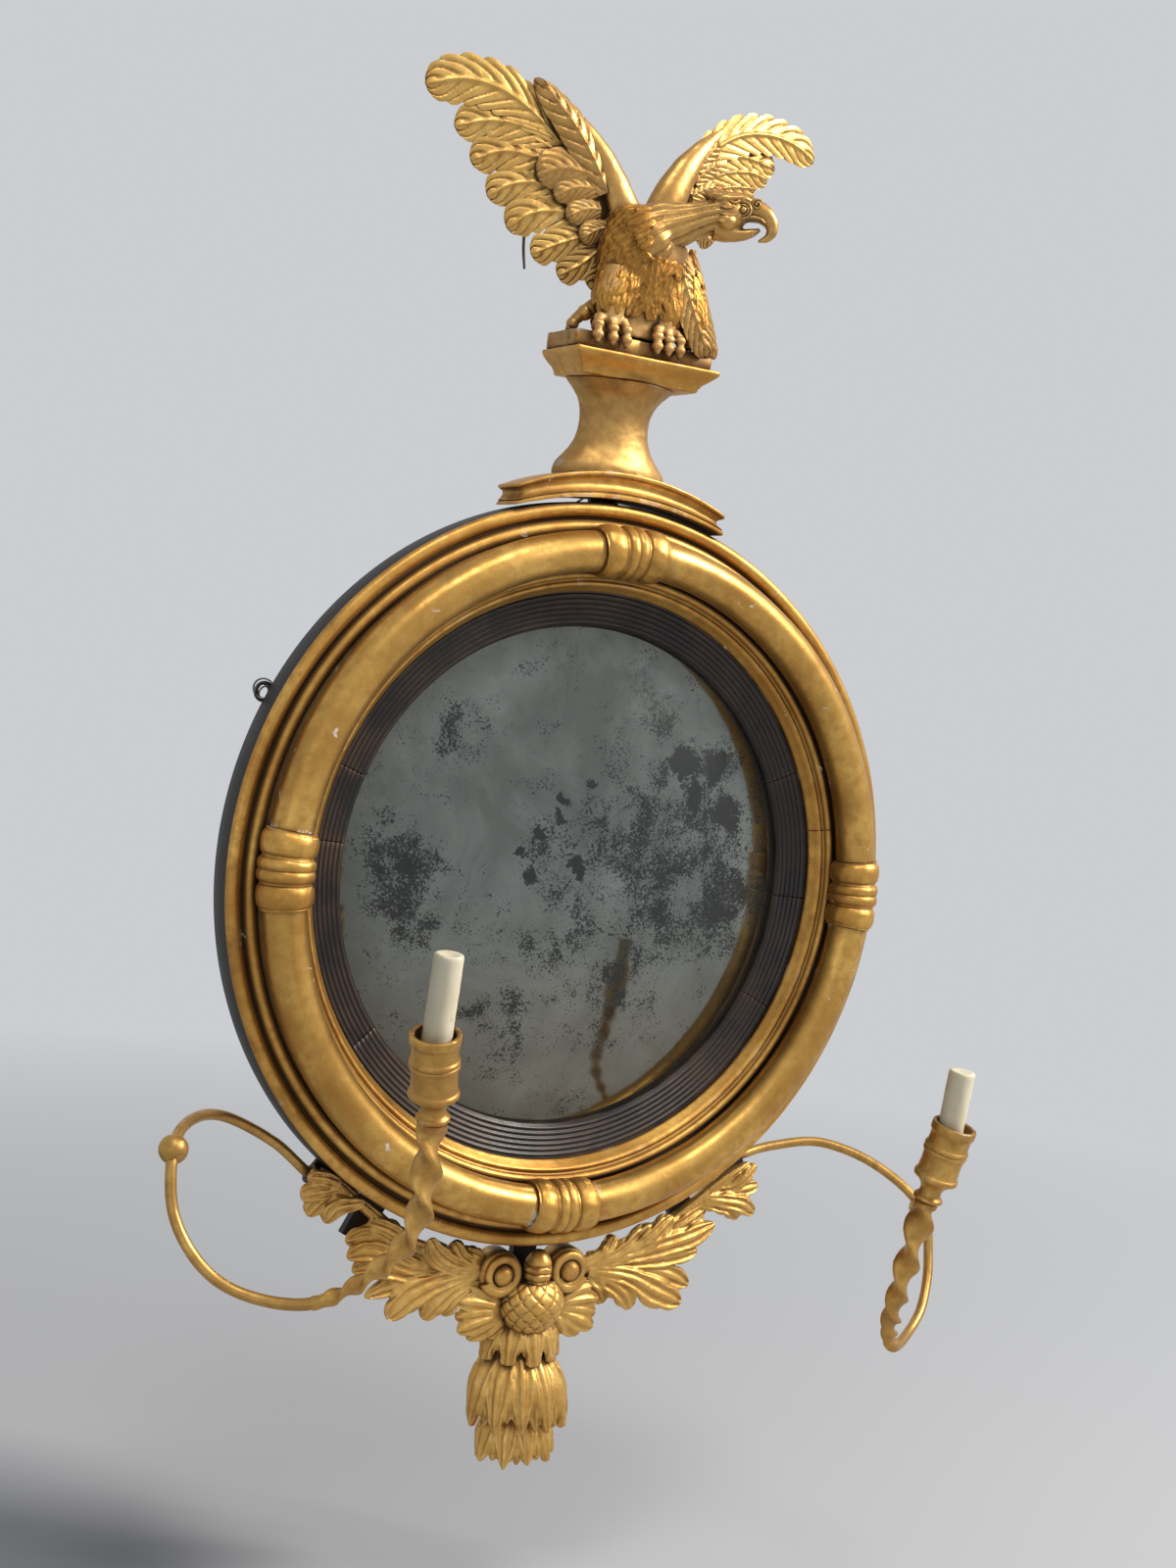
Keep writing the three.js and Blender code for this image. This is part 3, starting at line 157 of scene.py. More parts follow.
def plume(points, half, face=FRONT, *, crown, thick, rows, columns, rib=0.0, ribs=0, barb=0.0, barbs=0,
          slant=1.2, notch=0.0, vein=0.0, curl=0.0, blunt=0.3):
    """a carved feather or lobe along a middle line; half is its half width at even steps"""
    line = smooth(points, rows)
    across, up = frames(line, face)
    s = np.linspace(0, 1, rows)[:, None]
    line = line + up * (curl * s**3)
    across, up = frames(line, face)
    t = np.linspace(-1, 1, columns)[None]
    end = np.clip((s - (1 - blunt)) / blunt, 0, 1)
    w = spread(half, rows)[:, None] * np.sqrt(np.maximum(1 - end**2, 0.0)) + 0.15
    phase = (s - slant * max(half) / line_length(line) * np.abs(t) ** 1.3) * barbs
    part = phase % 1
    close = np.minimum(part, 1 - part)
    edge = 1 - notch * (1 - 2 * close) ** 3 * np.abs(t) ** 3 * (1 if barbs else 0)
    fade = np.clip(1.15 - end**3, 0.15, 1)
    relief = np.exp(-((close / 0.13) ** 2)) - 0.5 * (part - 0.5) if barbs else 0 * phase
    h = crown * (1 - t**2) * fade - barb * relief * np.clip(4 * np.abs(t), 0, 1) * (1 - 0.5 * t**2)
    h = h + vein * np.exp(-((t / 0.1) ** 2)) * fade
    if ribs:
        h = h + rib * np.cos(np.pi * ribs * t) * np.clip(3 * s, 0, 1)
    below = thick * (1 - 0.45 * np.abs(t) ** 4) * np.clip(1.1 - end**4, 0.2, 1)
    line, across, up = line[:, None], across[:, None], up[:, None]
    top = line + across * (w * t * edge)[..., None] + up * (h + 0 * s)[..., None]
    low = line + across * (w * t * edge * UNDERSIDE)[..., None] - up * below[..., None]
    return np.concatenate([top, low[:, ::-1]], axis=1)


def lathe(profile, turns, lump=0.0, seed=1, cracks=()):
    """profile points are [radius, depth in front of the ring's back]; cracks are degrees about its axis"""
    profile = np.asarray(profile, float)
    angles = np.radians(np.linspace(0, 360.0, turns, endpoint=False))
    for middle in cracks:
        close = np.radians(middle + np.array([-0.22, -0.07, 0.0, 0.07, 0.22]))
        angles = np.sort(np.r_[angles[np.abs(np.degrees(angles) - middle) > 0.3], close])
    r, y = profile[None, :, 0], -(RING_BACK + profile[None, :, 1])
    a = angles[:, None]
    grid = np.stack([r * np.cos(a), y + 0 * a, r * np.sin(a)], axis=-1)
    if lump:
        push = lump * (noise(grid, 70, seed) + 0.4 * noise(grid, 22, seed + 1))
        out = unit(np.stack([np.cos(a) + 0 * r, -1 + 0 * a + 0 * r, np.sin(a) + 0 * r], axis=-1))
        grid = grid - out * np.abs(push)[..., None]
    for middle in cracks:
        dip = np.exp(-((np.degrees(a) - middle) / 0.06) ** 2)[..., None] * 1.3
        grid = grid + np.array([0, 1.0, 0]) * dip
    return grid


def stood(profile, foot, axis, turns):
    """profile points are [radius, height] on an axis"""
    axis = unit(axis)
    side = unit(np.cross(axis, FRONT if abs(axis[1]) < 0.9 else UP))
    other = np.cross(side, axis)
    profile = np.asarray(profile, float)
    a = around(turns)[None, :, None]
    r, h = profile[:, 0][:, None, None], profile[:, 1][:, None, None]
    return np.asarray(foot, float) + r * (np.cos(a) * side + np.sin(a) * other) + h * axis


def rounded(corners, steps):
    """a closed outline with its corners eased; corners are [a, b, radius]"""
    out = []
    count = len(corners)
    for i, corner in enumerate(corners):
        p = np.array(corner[:2], float)
        r = corner[2]
        before = np.array(corners[i - 1][:2], float) - p
        after = np.array(corners[(i + 1) % count][:2], float) - p
        cut = min(r, 0.45 * np.linalg.norm(before), 0.45 * np.linalg.norm(after))
        a, b = p + cut * unit(before), p + cut * unit(after)
        for t in np.linspace(0, 1, steps):
            out.append((1 - t) ** 2 * a + 2 * t * (1 - t) * p + t**2 * b)
    return np.array(out)


# ------------------------------------------------------------------ meshes
def placed(name, data):
    """an object that shows the data, in the scene's collection"""
    obj = bpy.data.objects.new(name, data)
    bpy.context.scene.collection.objects.link(obj)
    return obj


def faces_of(rows, columns, ring, start, caps):
    """quads of a grid closed round its columns, with fans at its ends unless it is a ring"""
    i, j = np.meshgrid(np.arange(rows if ring else rows - 1), np.arange(columns), indexing="ij")
    k, m = (i + 1) % rows, (j + 1) % columns
    quads = np.stack([i * columns + j, i * columns + m, k * columns + m, k * columns + j], axis=-1)
    out = (quads.reshape(-1, 4) + start).tolist()
    if not ring and caps:
        out.append((np.arange(columns)[::-1] + start).tolist())
        out.append((np.arange(columns) + (rows - 1) * columns + start).tolist())
    return out


def piece(name, grids, node, material, body="frame", ring=False, slot="gilt_wood", sharp=40, remesh=0.0,
          relax=0, grain=0.0, shape=None, weld=False):
    """one Blender object from point grids; remesh in mm fuses them into one carved solid"""
    grids = grids if isinstance(grids, list) else [grids]
    points, faces, start = [], [], 0
    for grid in grids:
        rows, columns = grid.shape[:2]
        points.append(grid.reshape(-1, 3))
        faces += faces_of(rows, columns, ring, start, caps=not weld)
        start += rows * columns
    mesh = bpy.data.meshes.new(name)
    mesh.from_pydata((np.vstack(points) * MM).tolist(), [], faces)
    obj = placed(name, mesh)
    bpy.context.view_layer.update()
    recalculate(mesh, weld)
    if remesh:
        fused = obj.modifiers.new("fuse", "REMESH")
        fused.mode = "VOXEL"
        fused.voxel_size = remesh * MM
        if relax:
            ease = obj.modifiers.new("ease", "SMOOTH")
            ease.factor = 0.5
            ease.iterations = relax
        bake(obj)
        mesh = obj.data
    if grain or shape:
        count = len(mesh.vertices)
        co = np.empty(count * 3)
        normal = np.empty(count * 3)
        mesh.vertices.foreach_get("co", co)
        mesh.vertex_normals.foreach_get("vector", normal)
        co, normal = co.reshape(-1, 3) / MM, normal.reshape(-1, 3)
        push = 0
        if grain:
            push = push - grain * np.abs(noise(co, 9, 3)) - 0.5 * grain * np.abs(noise(co, 3.5, 4))
        if shape:
            push = push + shape(co, normal)
        co = co + normal * np.broadcast_to(push, (count,))[:, None]
        mesh.vertices.foreach_set("co", (co * MM).ravel())
        mesh.update()
    mesh.shade_smooth()
    if sharp:
        mesh.set_sharp_from_angle(angle=math.radians(sharp))
    mesh.materials.append(material)
    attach(obj, body)
    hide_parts(node)
    return obj


def recalculate(mesh, weld):
    """faces look outward; weld also joins points that meet"""
    bm = bmesh.new()
    bm.from_mesh(mesh)
    if weld:
        bmesh.ops.remove_doubles(bm, verts=bm.verts, dist=0.01 * MM)
        bmesh.ops.dissolve_degenerate(bm, edges=bm.edges, dist=0.01 * MM)
    bmesh.ops.recalc_face_normals(bm, faces=bm.faces)
    bm.to_mesh(mesh)
    bm.free()


def bake(obj):
    """the modifiers' result becomes the mesh"""
    graph = bpy.context.evaluated_depsgraph_get()
    done = bpy.data.meshes.new_from_object(obj.evaluated_get(graph))
    obj.modifiers.clear()
    obj.data = done


# ------------------------------------------------------------------ materials
class Nodes:
    """a node tree, with a short way to add each kind of node to it"""

    def __init__(self, tree):
        self.tree = tree

    def to(self, socket, value):
        """a number, a colour or another node's output goes into a socket"""
        if isinstance(value, tuple):
            socket.default_value = (*value, 1)
        elif isinstance(value, (int, float)):
            socket.default_value = value
        else:
            self.tree.links.new(value, socket)

    def node(self, kind, links=(), **values):
        made = self.tree.nodes.new(kind)
        for key, value in values.items():
            if key.startswith("in_"):
                name = key[3:]
                socket = made.inputs[int(name) if name.isdigit() else name.replace("_", " ")]
                socket.default_value = value
            else:
                setattr(made, key, value)
        for target, source in dict(links).items():
            self.tree.links.new(source, made.inputs[target])
        return made

    def ramp(self, source, start, stop, low=0.0, high=1.0):
        """from the low value at the start to the high one at the stop"""
        made = self.node("ShaderNodeValToRGB", {"Fac": source})
        for element, at, value in zip(made.color_ramp.elements, (start, stop), (low, high)):
            element.position = at
            element.color = (value, value, value, 1)
        return made.outputs["Color"]

    def mixed(self, factor, a, b):
        made = self.node("ShaderNodeMix", data_type="RGBA")
        for socket, value in ((0, factor), (6, a), (7, b)):
            self.to(made.inputs[socket], value)
        return made.outputs[2]

    def maths(self, operation, a, b, clamp=False):
        made = self.node("ShaderNodeMath", operation=operation, use_clamp=clamp)
        self.to(made.inputs[0], a)
        self.to(made.inputs[1], b)
        return made.outputs[0]

    def plus(self, a, b, clamp=False):
        return self.maths("ADD", a, b, clamp)

    def times(self, a, b, clamp=False):
        return self.maths("MULTIPLY", a, b, clamp)

    def most(self, a, b):
        return self.maths("MAXIMUM", a, b)

    def vector(self, operation, source, **values):
        return self.node("ShaderNodeVectorMath", {0: source}, operation=operation, **values).outputs

    def looked_at(self):
        """1 for rays from the camera, from a reflection or through glass, and 0 for scattered light"""
        path = self.node("ShaderNodeLightPath").outputs
        return self.most(self.most(path["Is Camera Ray"], path["Is Glossy Ray"]),
                         path["Is Transmission Ray"])


class Paint(Nodes):
    """a procedural material, laid out in the object's own coordinates"""

    def __init__(self, name):
        self.material = bpy.data.materials.new(name)
        self.material.use_nodes = True
        super().__init__(self.material.node_tree)
        self.shader = self.tree.nodes["Principled BSDF"]
        self.place = self.node("ShaderNodeTexCoord").outputs["Object"]

    def cloud(self, scale, detail, rough, distort=0.0, stretch=None):
        place = self.place
        if stretch:
            place = self.node("ShaderNodeMapping", {"Vector": place}, in_Scale=stretch).outputs[0]
        return self.node("ShaderNodeTexNoise", {"Vector": place}, in_Scale=scale, in_Detail=detail,
                         in_Roughness=rough, in_Distortion=distort).outputs["Fac"]

    def ridge(self):
        """high on an edge that stands out"""
        return self.node("ShaderNodeNewGeometry").outputs["Pointiness"]

    def gives(self, **values):
        """colour, roughness and other values for the shader"""
        for name, value in values.items():
            self.to(self.shader.inputs[name.replace("_", " ")], value)

    def bumped(self, *layers):
        """layers are (height, strength, distance in mm); the material is done then"""
        normal = None
        for height, strength, distance in layers:
            made = self.node("ShaderNodeBump", {"Height": height}, in_Strength=strength,
                             in_Distance=distance * MM)
            if normal:
                self.tree.links.new(normal, made.inputs["Normal"])
            normal = made.outputs[0]
        self.tree.links.new(normal, self.shader.inputs["Normal"])
        return self.material


# a dark brown used both for real grime stains and for the painted shade in hollows
GRIME_AND_SHADE = (0.06, 0.03, 0.012)
GESSO = (0.74, 0.66, 0.52)


def gilding(name, light=(0.78, 0.46, 0.115), deep=(0.47, 0.235, 0.05), bole=(0.42, 0.13, 0.035), worn=0.5,
            chips=0.5, shade_and_soot=1.0, gloss=0.3):
    """water gilding over bole and gesso: bright on the crowns, rubbed and chipped, brown with real stains
    and with painted shade (ambient occlusion) in the hollows and between parts
    """
    paint = Paint(name)
    broad = paint.cloud(16, 5, 0.6, 0.4)
    fine = paint.cloud(120, 4, 0.6)
    speck = paint.cloud(420, 3, 0.6)
    ridge = paint.ridge()
    # painted shade: ambient occlusion within 9 mm darkens hollows and the gaps between parts towards the
    # dark brown, joined by real stain clouds; the same mask also dulls the metal
    occlusion_shade = paint.node("ShaderNodeAmbientOcclusion", samples=6, in_Distance=9 * MM).outputs["AO"]
    gold = paint.mixed(paint.ramp(broad, 0.35, 0.68), deep, light)
    gold = paint.mixed(paint.ramp(fine, 0.42, 0.72, high=0.75), gold, deep)
    rub = paint.times(paint.ramp(ridge, 0.505, 0.56), paint.ramp(paint.cloud(60, 5, 0.65), 0.5, 0.62))
    gold = paint.mixed(paint.times(rub, worn), gold, bole)
    shade_and_dirt = paint.ramp(occlusion_shade, 0.3, 0.93, 1.0, 0.0)
    stain = paint.ramp(paint.cloud(28, 6, 0.7, 0.6), 0.56, 0.72, high=0.75)
    shade_and_dirt = paint.most(shade_and_dirt, paint.times(stain, 0.55 * shade_and_soot))
    shade_and_dirt = paint.times(shade_and_dirt, shade_and_soot, clamp=True)
    colour = paint.mixed(shade_and_dirt, gold, GRIME_AND_SHADE)
    chip = paint.times(paint.ramp(paint.cloud(46, 8, 0.75, 0.8), 0.648, 0.66), chips, clamp=True)
    chip = paint.ramp(chip, 0.25, 0.3)
    bare = paint.times(paint.ramp(ridge, 0.53, 0.57), paint.ramp(paint.cloud(33, 6, 0.7, 0.4), 0.56, 0.60))
    chip = paint.most(chip, paint.times(bare, min(1.0, 1.2 * chips)))
    colour = paint.mixed(chip, colour, GESSO)
    paint.gives(Base_Color=colour)
    plain = paint.most(paint.times(shade_and_dirt, 0.75), chip)
    shine = paint.maths("SUBTRACT", 1.0, plain, clamp=True)
    paint.gives(Metallic=paint.times(shine, 0.9))
    rough = paint.plus(paint.times(fine, 0.24), gloss)
    rough = paint.plus(rough, paint.times(plain, 0.4), clamp=True)
    paint.gives(Roughness=rough)
    return paint.bumped((broad, 0.25, 1.2), (fine, 0.45, 0.4), (speck, 0.35, 0.15), (chip, -0.8, 0.5))


def ebonised():
    """black lacquer worn brown on the reeds' crowns, dusty between them"""
    paint = Paint("ebonised_reeds")
    broad = paint.cloud(22, 5, 0.65, 0.5)
    fine = paint.cloud(260, 4, 0.6)
    ridge = paint.ridge()
    worn = paint.times(paint.ramp(ridge, 0.5, 0.54), paint.ramp(broad, 0.42, 0.7))
    colour = paint.mixed(paint.ramp(broad, 0.35, 0.75), (0.008, 0.0065, 0.0065), (0.03, 0.018, 0.013))
    colour = paint.mixed(worn, colour, (0.11, 0.06, 0.033))
    chip = paint.ramp(paint.cloud(75, 8, 0.8, 1.0), 0.765, 0.775)
    colour = paint.mixed(chip, colour, (0.5, 0.42, 0.32))
    paint.gives(Base_Color=colour)
    paint.gives(Roughness=paint.plus(paint.times(fine, 0.3), 0.22))
    return paint.bumped((broad, 0.15, 0.8), (fine, 0.3, 0.15), (chip, -0.6, 0.4))


def black_paint():
    paint = Paint("black_paint")
    broad = paint.cloud(30, 5, 0.6)
    fine = paint.cloud(300, 4, 0.6)
    streak = paint.cloud(12, 5, 0.7, 0.4)
    colour = paint.mixed(paint.ramp(broad, 0.4, 0.7), (0.012, 0.009, 0.008), (0.035, 0.024, 0.018))
    colour = paint.mixed(paint.ramp(streak, 0.66, 0.72, high=0.7), colour, (0.12, 0.075, 0.045))
    paint.gives(Base_Color=colour)
    paint.gives(Roughness=paint.plus(paint.times(broad, 0.3), 0.4))
    return paint.bumped((broad, 0.3, 1.0), (fine, 0.3, 0.2))


def pine():
    """sawn pine boards gone brown, with rings drawn out along the grain"""
    paint = Paint("old_pine")
    grain = paint.cloud(26, 6, 0.65, 0.3, stretch=(1.0, 1.0, 0.05))
    rings = paint.node("ShaderNodeTexWave", {"Vector": paint.place}, wave_type="RINGS", rings_direction="Z",
                 in_Scale=9.0, in_Distortion=5.0, in_Detail=4.0).outputs["Fac"]
    fine = paint.cloud(380, 4, 0.6, 0.0, stretch=(1.0, 1.0, 0.06))
    colour = paint.mixed(paint.ramp(grain, 0.35, 0.7), (0.12, 0.062, 0.028), (0.24, 0.14, 0.066))
    colour = paint.mixed(paint.ramp(rings, 0.4, 0.95, high=0.4), colour, (0.085, 0.042, 0.02))
    colour = paint.mixed(paint.ramp(paint.cloud(9, 5, 0.7), 0.5, 0.75, high=0.6), colour,
                         (0.06, 0.04, 0.028))
    paint.gives(Base_Color=colour)
    paint.gives(Roughness=paint.plus(paint.times(fine, 0.2), 0.62))
    return paint.bumped((grain, 0.3, 0.8), (fine, 0.5, 0.25))


def old_iron():
    paint = Paint("old_iron")
    broad = paint.cloud(70, 6, 0.7)
    fine = paint.cloud(500, 4, 0.6)
    colour = paint.mixed(paint.ramp(broad, 0.4, 0.66), (0.05, 0.043, 0.038), (0.17, 0.085, 0.04))
    paint.gives(Base_Color=colour)
    paint.gives(Metallic=paint.ramp(broad, 0.45, 0.65, 0.75, 0.1))
    paint.gives(Roughness=paint.plus(paint.times(fine, 0.3), 0.42))
    return paint.bumped((broad, 0.4, 0.5), (fine, 0.4, 0.15))


def candle_wax():
    paint = Paint("candle_wax")
    broad = paint.cloud(40, 4, 0.6)
    fine = paint.cloud(260, 4, 0.6)
    colour = paint.mixed(paint.ramp(broad, 0.35, 0.7), (0.80, 0.72, 0.50), (0.86, 0.80, 0.62))
    colour = paint.mixed(paint.ramp(paint.cloud(130, 6, 0.75), 0.6, 0.68, high=0.5), colour,
                         (0.5, 0.38, 0.2))
    paint.gives(Base_Color=colour)
    paint.shader.inputs["Subsurface Radius"].default_value = (0.004, 0.003, 0.0015)
    paint.gives(Subsurface_Weight=0.25, Subsurface_Scale=1.0)
    paint.gives(Roughness=paint.plus(paint.times(fine, 0.2), 0.38))
    return paint.bumped((broad, 0.4, 0.8), (fine, 0.3, 0.15))


# [x, z, reach, strength] of the places where the old silvering has blistered, in mm on the glass
BLISTERS = [
    (-12, 6, 11, 1.0), (-30, 44, 8, 0.9), (-42, 30, 8, 0.8), (-26, 60, 6, 0.9), (-52, 4, 8, 0.9),
    (-60, 20, 7, 0.7), (-2, 78, 5, 0.9), (84, 96, 16, 0.9), (96, 74, 13, 0.7), (132, 60, 22, 0.6),
    (118, 96, 18, 0.5), (100, 20, 130, 0.29), (30, -20, 120, 0.22), (-150, -14, 40, 0.4),
    (-160, 20, 32, 0.3), (-136, -44, 24, 0.36), (140, -8, 40, 0.4), (-110, 110, 30, 0.25),
    (60, 140, 40, 0.25), (36, -70, 16, 0.5), (44, -92, 12, 0.5), (-60, -120, 50, 0.2),
]


def foxed_mirror():
    """old silvered glass: grey-green, clouded, with dark blistered patches and freckles"""
    paint = Paint("foxed_mirror")
    warp = paint.node("ShaderNodeTexNoise", {"Vector": paint.place}, in_Scale=26.0, in_Detail=6.0,
                      in_Roughness=0.7)
    offset = paint.vector("SUBTRACT", warp.outputs["Color"], in_1=(0.5, 0.5, 0.5))[0]
    offset = paint.vector("SCALE", offset, in_Scale=0.05)[0]
    near = paint.node("ShaderNodeVectorMath", {0: paint.place, 1: offset}, operation="ADD").outputs[0]
    flat = paint.vector("MULTIPLY", near, in_1=(1.0, 0.0, 1.0))[0]
    patches = 0.0
    for x, z, reach, strength in BLISTERS:
        away = paint.vector("DISTANCE", flat, in_1=(x * MM, 0.0, z * MM))["Value"]
        spot = paint.maths("SUBTRACT", 1.0, paint.maths("DIVIDE", away, reach * MM), clamp=True)
        spot = paint.times(paint.ramp(spot, 0.0, 0.5), strength)
        patches = paint.most(patches, spot)
    # pepper that thickens into solid black towards the middle of each patch
    broken = paint.times(paint.cloud(34, 6, 0.7, 0.5), 0.9)
    pepper = paint.plus(paint.cloud(520, 4, 0.75), broken)
    pepper = paint.plus(pepper, paint.times(patches, 0.55))
    patches = paint.ramp(paint.times(pepper, 0.5), 0.54, 0.57)
    freckles = paint.ramp(paint.cloud(260, 6, 0.78), 0.58, 0.66)
    freckles = paint.times(freckles, paint.ramp(paint.cloud(14, 5, 0.6, 0.5), 0.42, 0.62, 0.15, 1.0))
    haze = paint.ramp(paint.cloud(9, 6, 0.65, 0.6), 0.4, 0.7)
    rim = paint.maths("DIVIDE", paint.vector("LENGTH", flat)["Value"], GLASS_R * MM)
    rim = paint.ramp(rim, 0.86, 1.0, high=0.6)
    colour = paint.mixed(haze, (0.17, 0.182, 0.165), (0.29, 0.31, 0.285))
    low = paint.node("ShaderNodeSeparateXYZ", {0: near}).outputs["Z"]
    low = paint.ramp(paint.times(low, -5.0), 0.1, 0.9, high=0.6)
    colour = paint.mixed(low, colour, (0.185, 0.15, 0.105))
    colour = paint.mixed(rim, colour, (0.11, 0.105, 0.085))
    colour = paint.mixed(paint.times(freckles, 0.8), colour, (0.05, 0.048, 0.04))
    colour = paint.mixed(paint.times(patches, 0.95), colour, (0.022, 0.025, 0.024))
    paint.gives(Base_Color=colour)
    dull = paint.most(patches, paint.times(freckles, 0.7))
    paint.gives(Metallic=paint.maths("SUBTRACT", 0.93, paint.times(dull, 0.5)))
    rough = paint.plus(paint.times(haze, 0.04), 0.06)
    paint.gives(Roughness=paint.plus(rough, paint.times(dull, 0.25)))
    return paint.bumped((paint.cloud(14, 3, 0.5), 0.25, 1.6), (dull, -0.15, 0.1))


# ------------------------------------------------------------------ camera, lights and floor
def place_camera():
    data = bpy.data.cameras.new("camera")
    camera = placed("camera", data)
    right, up = (0.85462, -0.50848, 0.10522), (-0.06165, 0.10184, 0.99289)
    back = (-0.51558, -0.85503, 0.05569)
    turn = Matrix((right, up, back)).transposed().to_4x4()
    camera.matrix_world = Matrix.Translation((-0.81185, -1.37730, 0.16154)) @ turn
    data.lens = 46.65
    data.sensor_width = 36
    data.clip_end = 200
    bpy.context.scene.camera = camera


def area_light(name, position, target, size, power, colour):
    data = bpy.data.lights.new(name, "AREA")
    data.shape = "RECTANGLE"
    data.size, data.size_y = size
    data.energy = power
    data.color = colour
    light = placed(name, data)
    ahead = unit(np.array(target) - position)
    side = unit(np.cross(ahead, UP))
    turn = Matrix((side, np.cross(side, ahead), -ahead)).transposed().to_4x4()
    light.matrix_world = Matrix.Translation(position) @ turn


BACKDROP = (0.60, 0.615, 0.64)
# the floor lies below the lowest husk; its lengths are metres
FLOOR_Z = -0.62
FLOOR_HALF = 14.0
FLOOR_SQUARES = 8
FLOOR_FADE = 4.0


def studio():
    area_light("key", (2.9, -2.0, 2.6), (0, 0, 0.05), (0.9, 0.9), 190, (1.0, 0.965, 0.92))
    area_light("top", (-0.3, -1.8, 3.4), (0, 0, 0.2), (1.0, 0.8), 34, (1.0, 0.98, 0.95))
    area_light("fill", (-2.6, -2.6, 0.4), (0, 0, 0), (2.0, 2.0), 6, (0.93, 0.96, 1.0))
    world = bpy.data.worlds.new("studio")
    bpy.context.scene.world = world
    world.use_nodes = True
    sky = Nodes(world.node_tree)
    background = world.node_tree.nodes["Background"].inputs
    sky.to(background["Color"], sky.mixed(sky.looked_at(), (0.11, 0.115, 0.125), BACKDROP))
    background["Strength"].default_value = 1.0


def lay_floor():
    paint = Paint("studio_floor")
    paint.gives(Base_Color=paint.mixed(paint.cloud(1.2, 3, 0.5), BACKDROP, (0.63, 0.645, 0.67)),
                Roughness=0.9)
    # away from the mirror the floor melts into the studio's backdrop, where it is looked at
    away = paint.maths("DIVIDE", paint.vector("LENGTH", paint.place)["Value"], FLOOR_FADE)
    far = paint.ramp(away, 0.22, 0.62)
    glow = paint.node("ShaderNodeEmission", in_Color=(*BACKDROP, 1), in_Strength=1.0).outputs[0]
    blend = paint.node("ShaderNodeMixShader", {
        0: paint.times(far, paint.looked_at()), 1: paint.shader.outputs[0], 2: glow})
    paint.to(paint.tree.nodes["Material Output"].inputs["Surface"], blend.outputs[0])
    steps = np.linspace(-FLOOR_HALF, FLOOR_HALF, FLOOR_SQUARES + 1)
    row = len(steps)
    points = [(x, y, FLOOR_Z) for y in steps for x in steps]
    faces = [(row * j + i, row * j + i + 1, row * j + i + row + 1, row * j + i + row)
             for j in range(FLOOR_SQUARES) for i in range(FLOOR_SQUARES)]
    mesh = bpy.data.meshes.new("studio_floor")
    mesh.from_pydata(points, [], faces)
    mesh.materials.append(paint.material)
    placed("studio_floor", mesh)


bpy.context.scene.view_settings.view_transform = "Standard"
place_camera()
studio()
lay_floor()

GILT = gilding("gilt_frame")
SMOOTH_GILT = gilding("gilt_hoop", light=(0.80, 0.49, 0.13), deep=(0.46, 0.24, 0.055), chips=0.8,
                      shade_and_soot=0.85, gloss=0.24)
CARVED_GILT = gilding("gilt_carving", light=(0.90, 0.58, 0.18), deep=(0.60, 0.33, 0.08), worn=0.8,
                      chips=0.85)
BROWN_GILT = gilding("gilt_breast", light=(0.66, 0.36, 0.075), deep=(0.38, 0.165, 0.03),
                     bole=(0.42, 0.15, 0.03), chips=0.2, gloss=0.34)
METAL_GILT = gilding("gilt_metal", light=(0.68, 0.41, 0.12), deep=(0.40, 0.22, 0.06), worn=0.3, chips=0.0,
                     shade_and_soot=0.9, gloss=0.28)
EBONY = ebonised()
BLACK = black_paint()
PINE = pine()
IRON = old_iron()
WAX = candle_wax()
MIRROR = foxed_mirror()


# ------------------------------------------------------------------ hanging wire, the one cord
EYE_DEGREES = 155
EYE_R = 289
WIRE_Y = -3.6
WIRE_PEAK = 302
WIRE_BEND = (8, 3.6)
WIRE_BOUND = 18
WIRE_R = 0.8


def eye_centre(side):
    angle = math.radians(EYE_DEGREES)
    return np.array([-side * EYE_R * math.cos(angle), WIRE_Y, EYE_R * math.sin(angle)])


def on_wire(side, distance):
    """a point of the wire's straight run, at that distance from the eye's centre"""
    centre = eye_centre(side)
    half, drop = WIRE_BEND
    return centre + distance * unit(np.array([side * half, WIRE_Y, WIRE_PEAK - drop]) - centre)


def hanging_wire():
    ends = [on_wire(side, WIRE_BOUND) for side in (-1, 1)]
    half, drop = WIRE_BEND
    bend = [np.array([half * u, WIRE_Y, WIRE_PEAK - drop * u * u]) for u in (-1, -0.6, -0.2, 0.2, 0.6, 1)]
    steps = (0, 0.12, 0.3, 0.5, 0.7, 0.86, 0.96)
    runs = [[end + s * (bend[k] - end) for s in steps] for end, k in zip(ends, (0, -1))]
    route = runs[0] + bend + runs[1][::-1]
    data = bpy.data.curves.new("hanging_wire_strand", "CURVE")
    data.dimensions = "3D"
    spline = data.splines.new("POLY")
    spline.points.add(len(route) - 1)
    for point, at in zip(spline.points, route):
        point.co = (*(at * MM), 1)
    data.bevel_depth = WIRE_R * MM
    data.bevel_resolution = 3
    data.use_fill_caps = True
    data.materials.append(IRON)
    obj = placed("hanging_wire_strand", data)
    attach(obj, "frame")
    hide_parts("hanging_wire")


hanging_wire()


# ------------------------------------------------------------------ ring, mouldings, slip and mirror
def bead(a, b, depth, height):
    """a half round from radius a to radius b, as profile points"""
    turn = np.linspace(0, np.pi, 13)
    return [[(a + b) / 2 + (a - b) / 2 * math.cos(t), depth + height * math.sin(t)] for t in turn]


GLASS_BALL_R = 750
GLASS_THICK = 3
MOULD_CRACK = 12.5
SLIP_CRACKS = (160.0, 175.0, 217.0, 25.5, 357.7, 333.0)
REEDS = 6
# the ring is black on its side, up to a depth and in to a radius, and on its back
PAINTED_DEPTH = 32.5
PAINTED_R = 288.6
PAINTED_BACK = 11


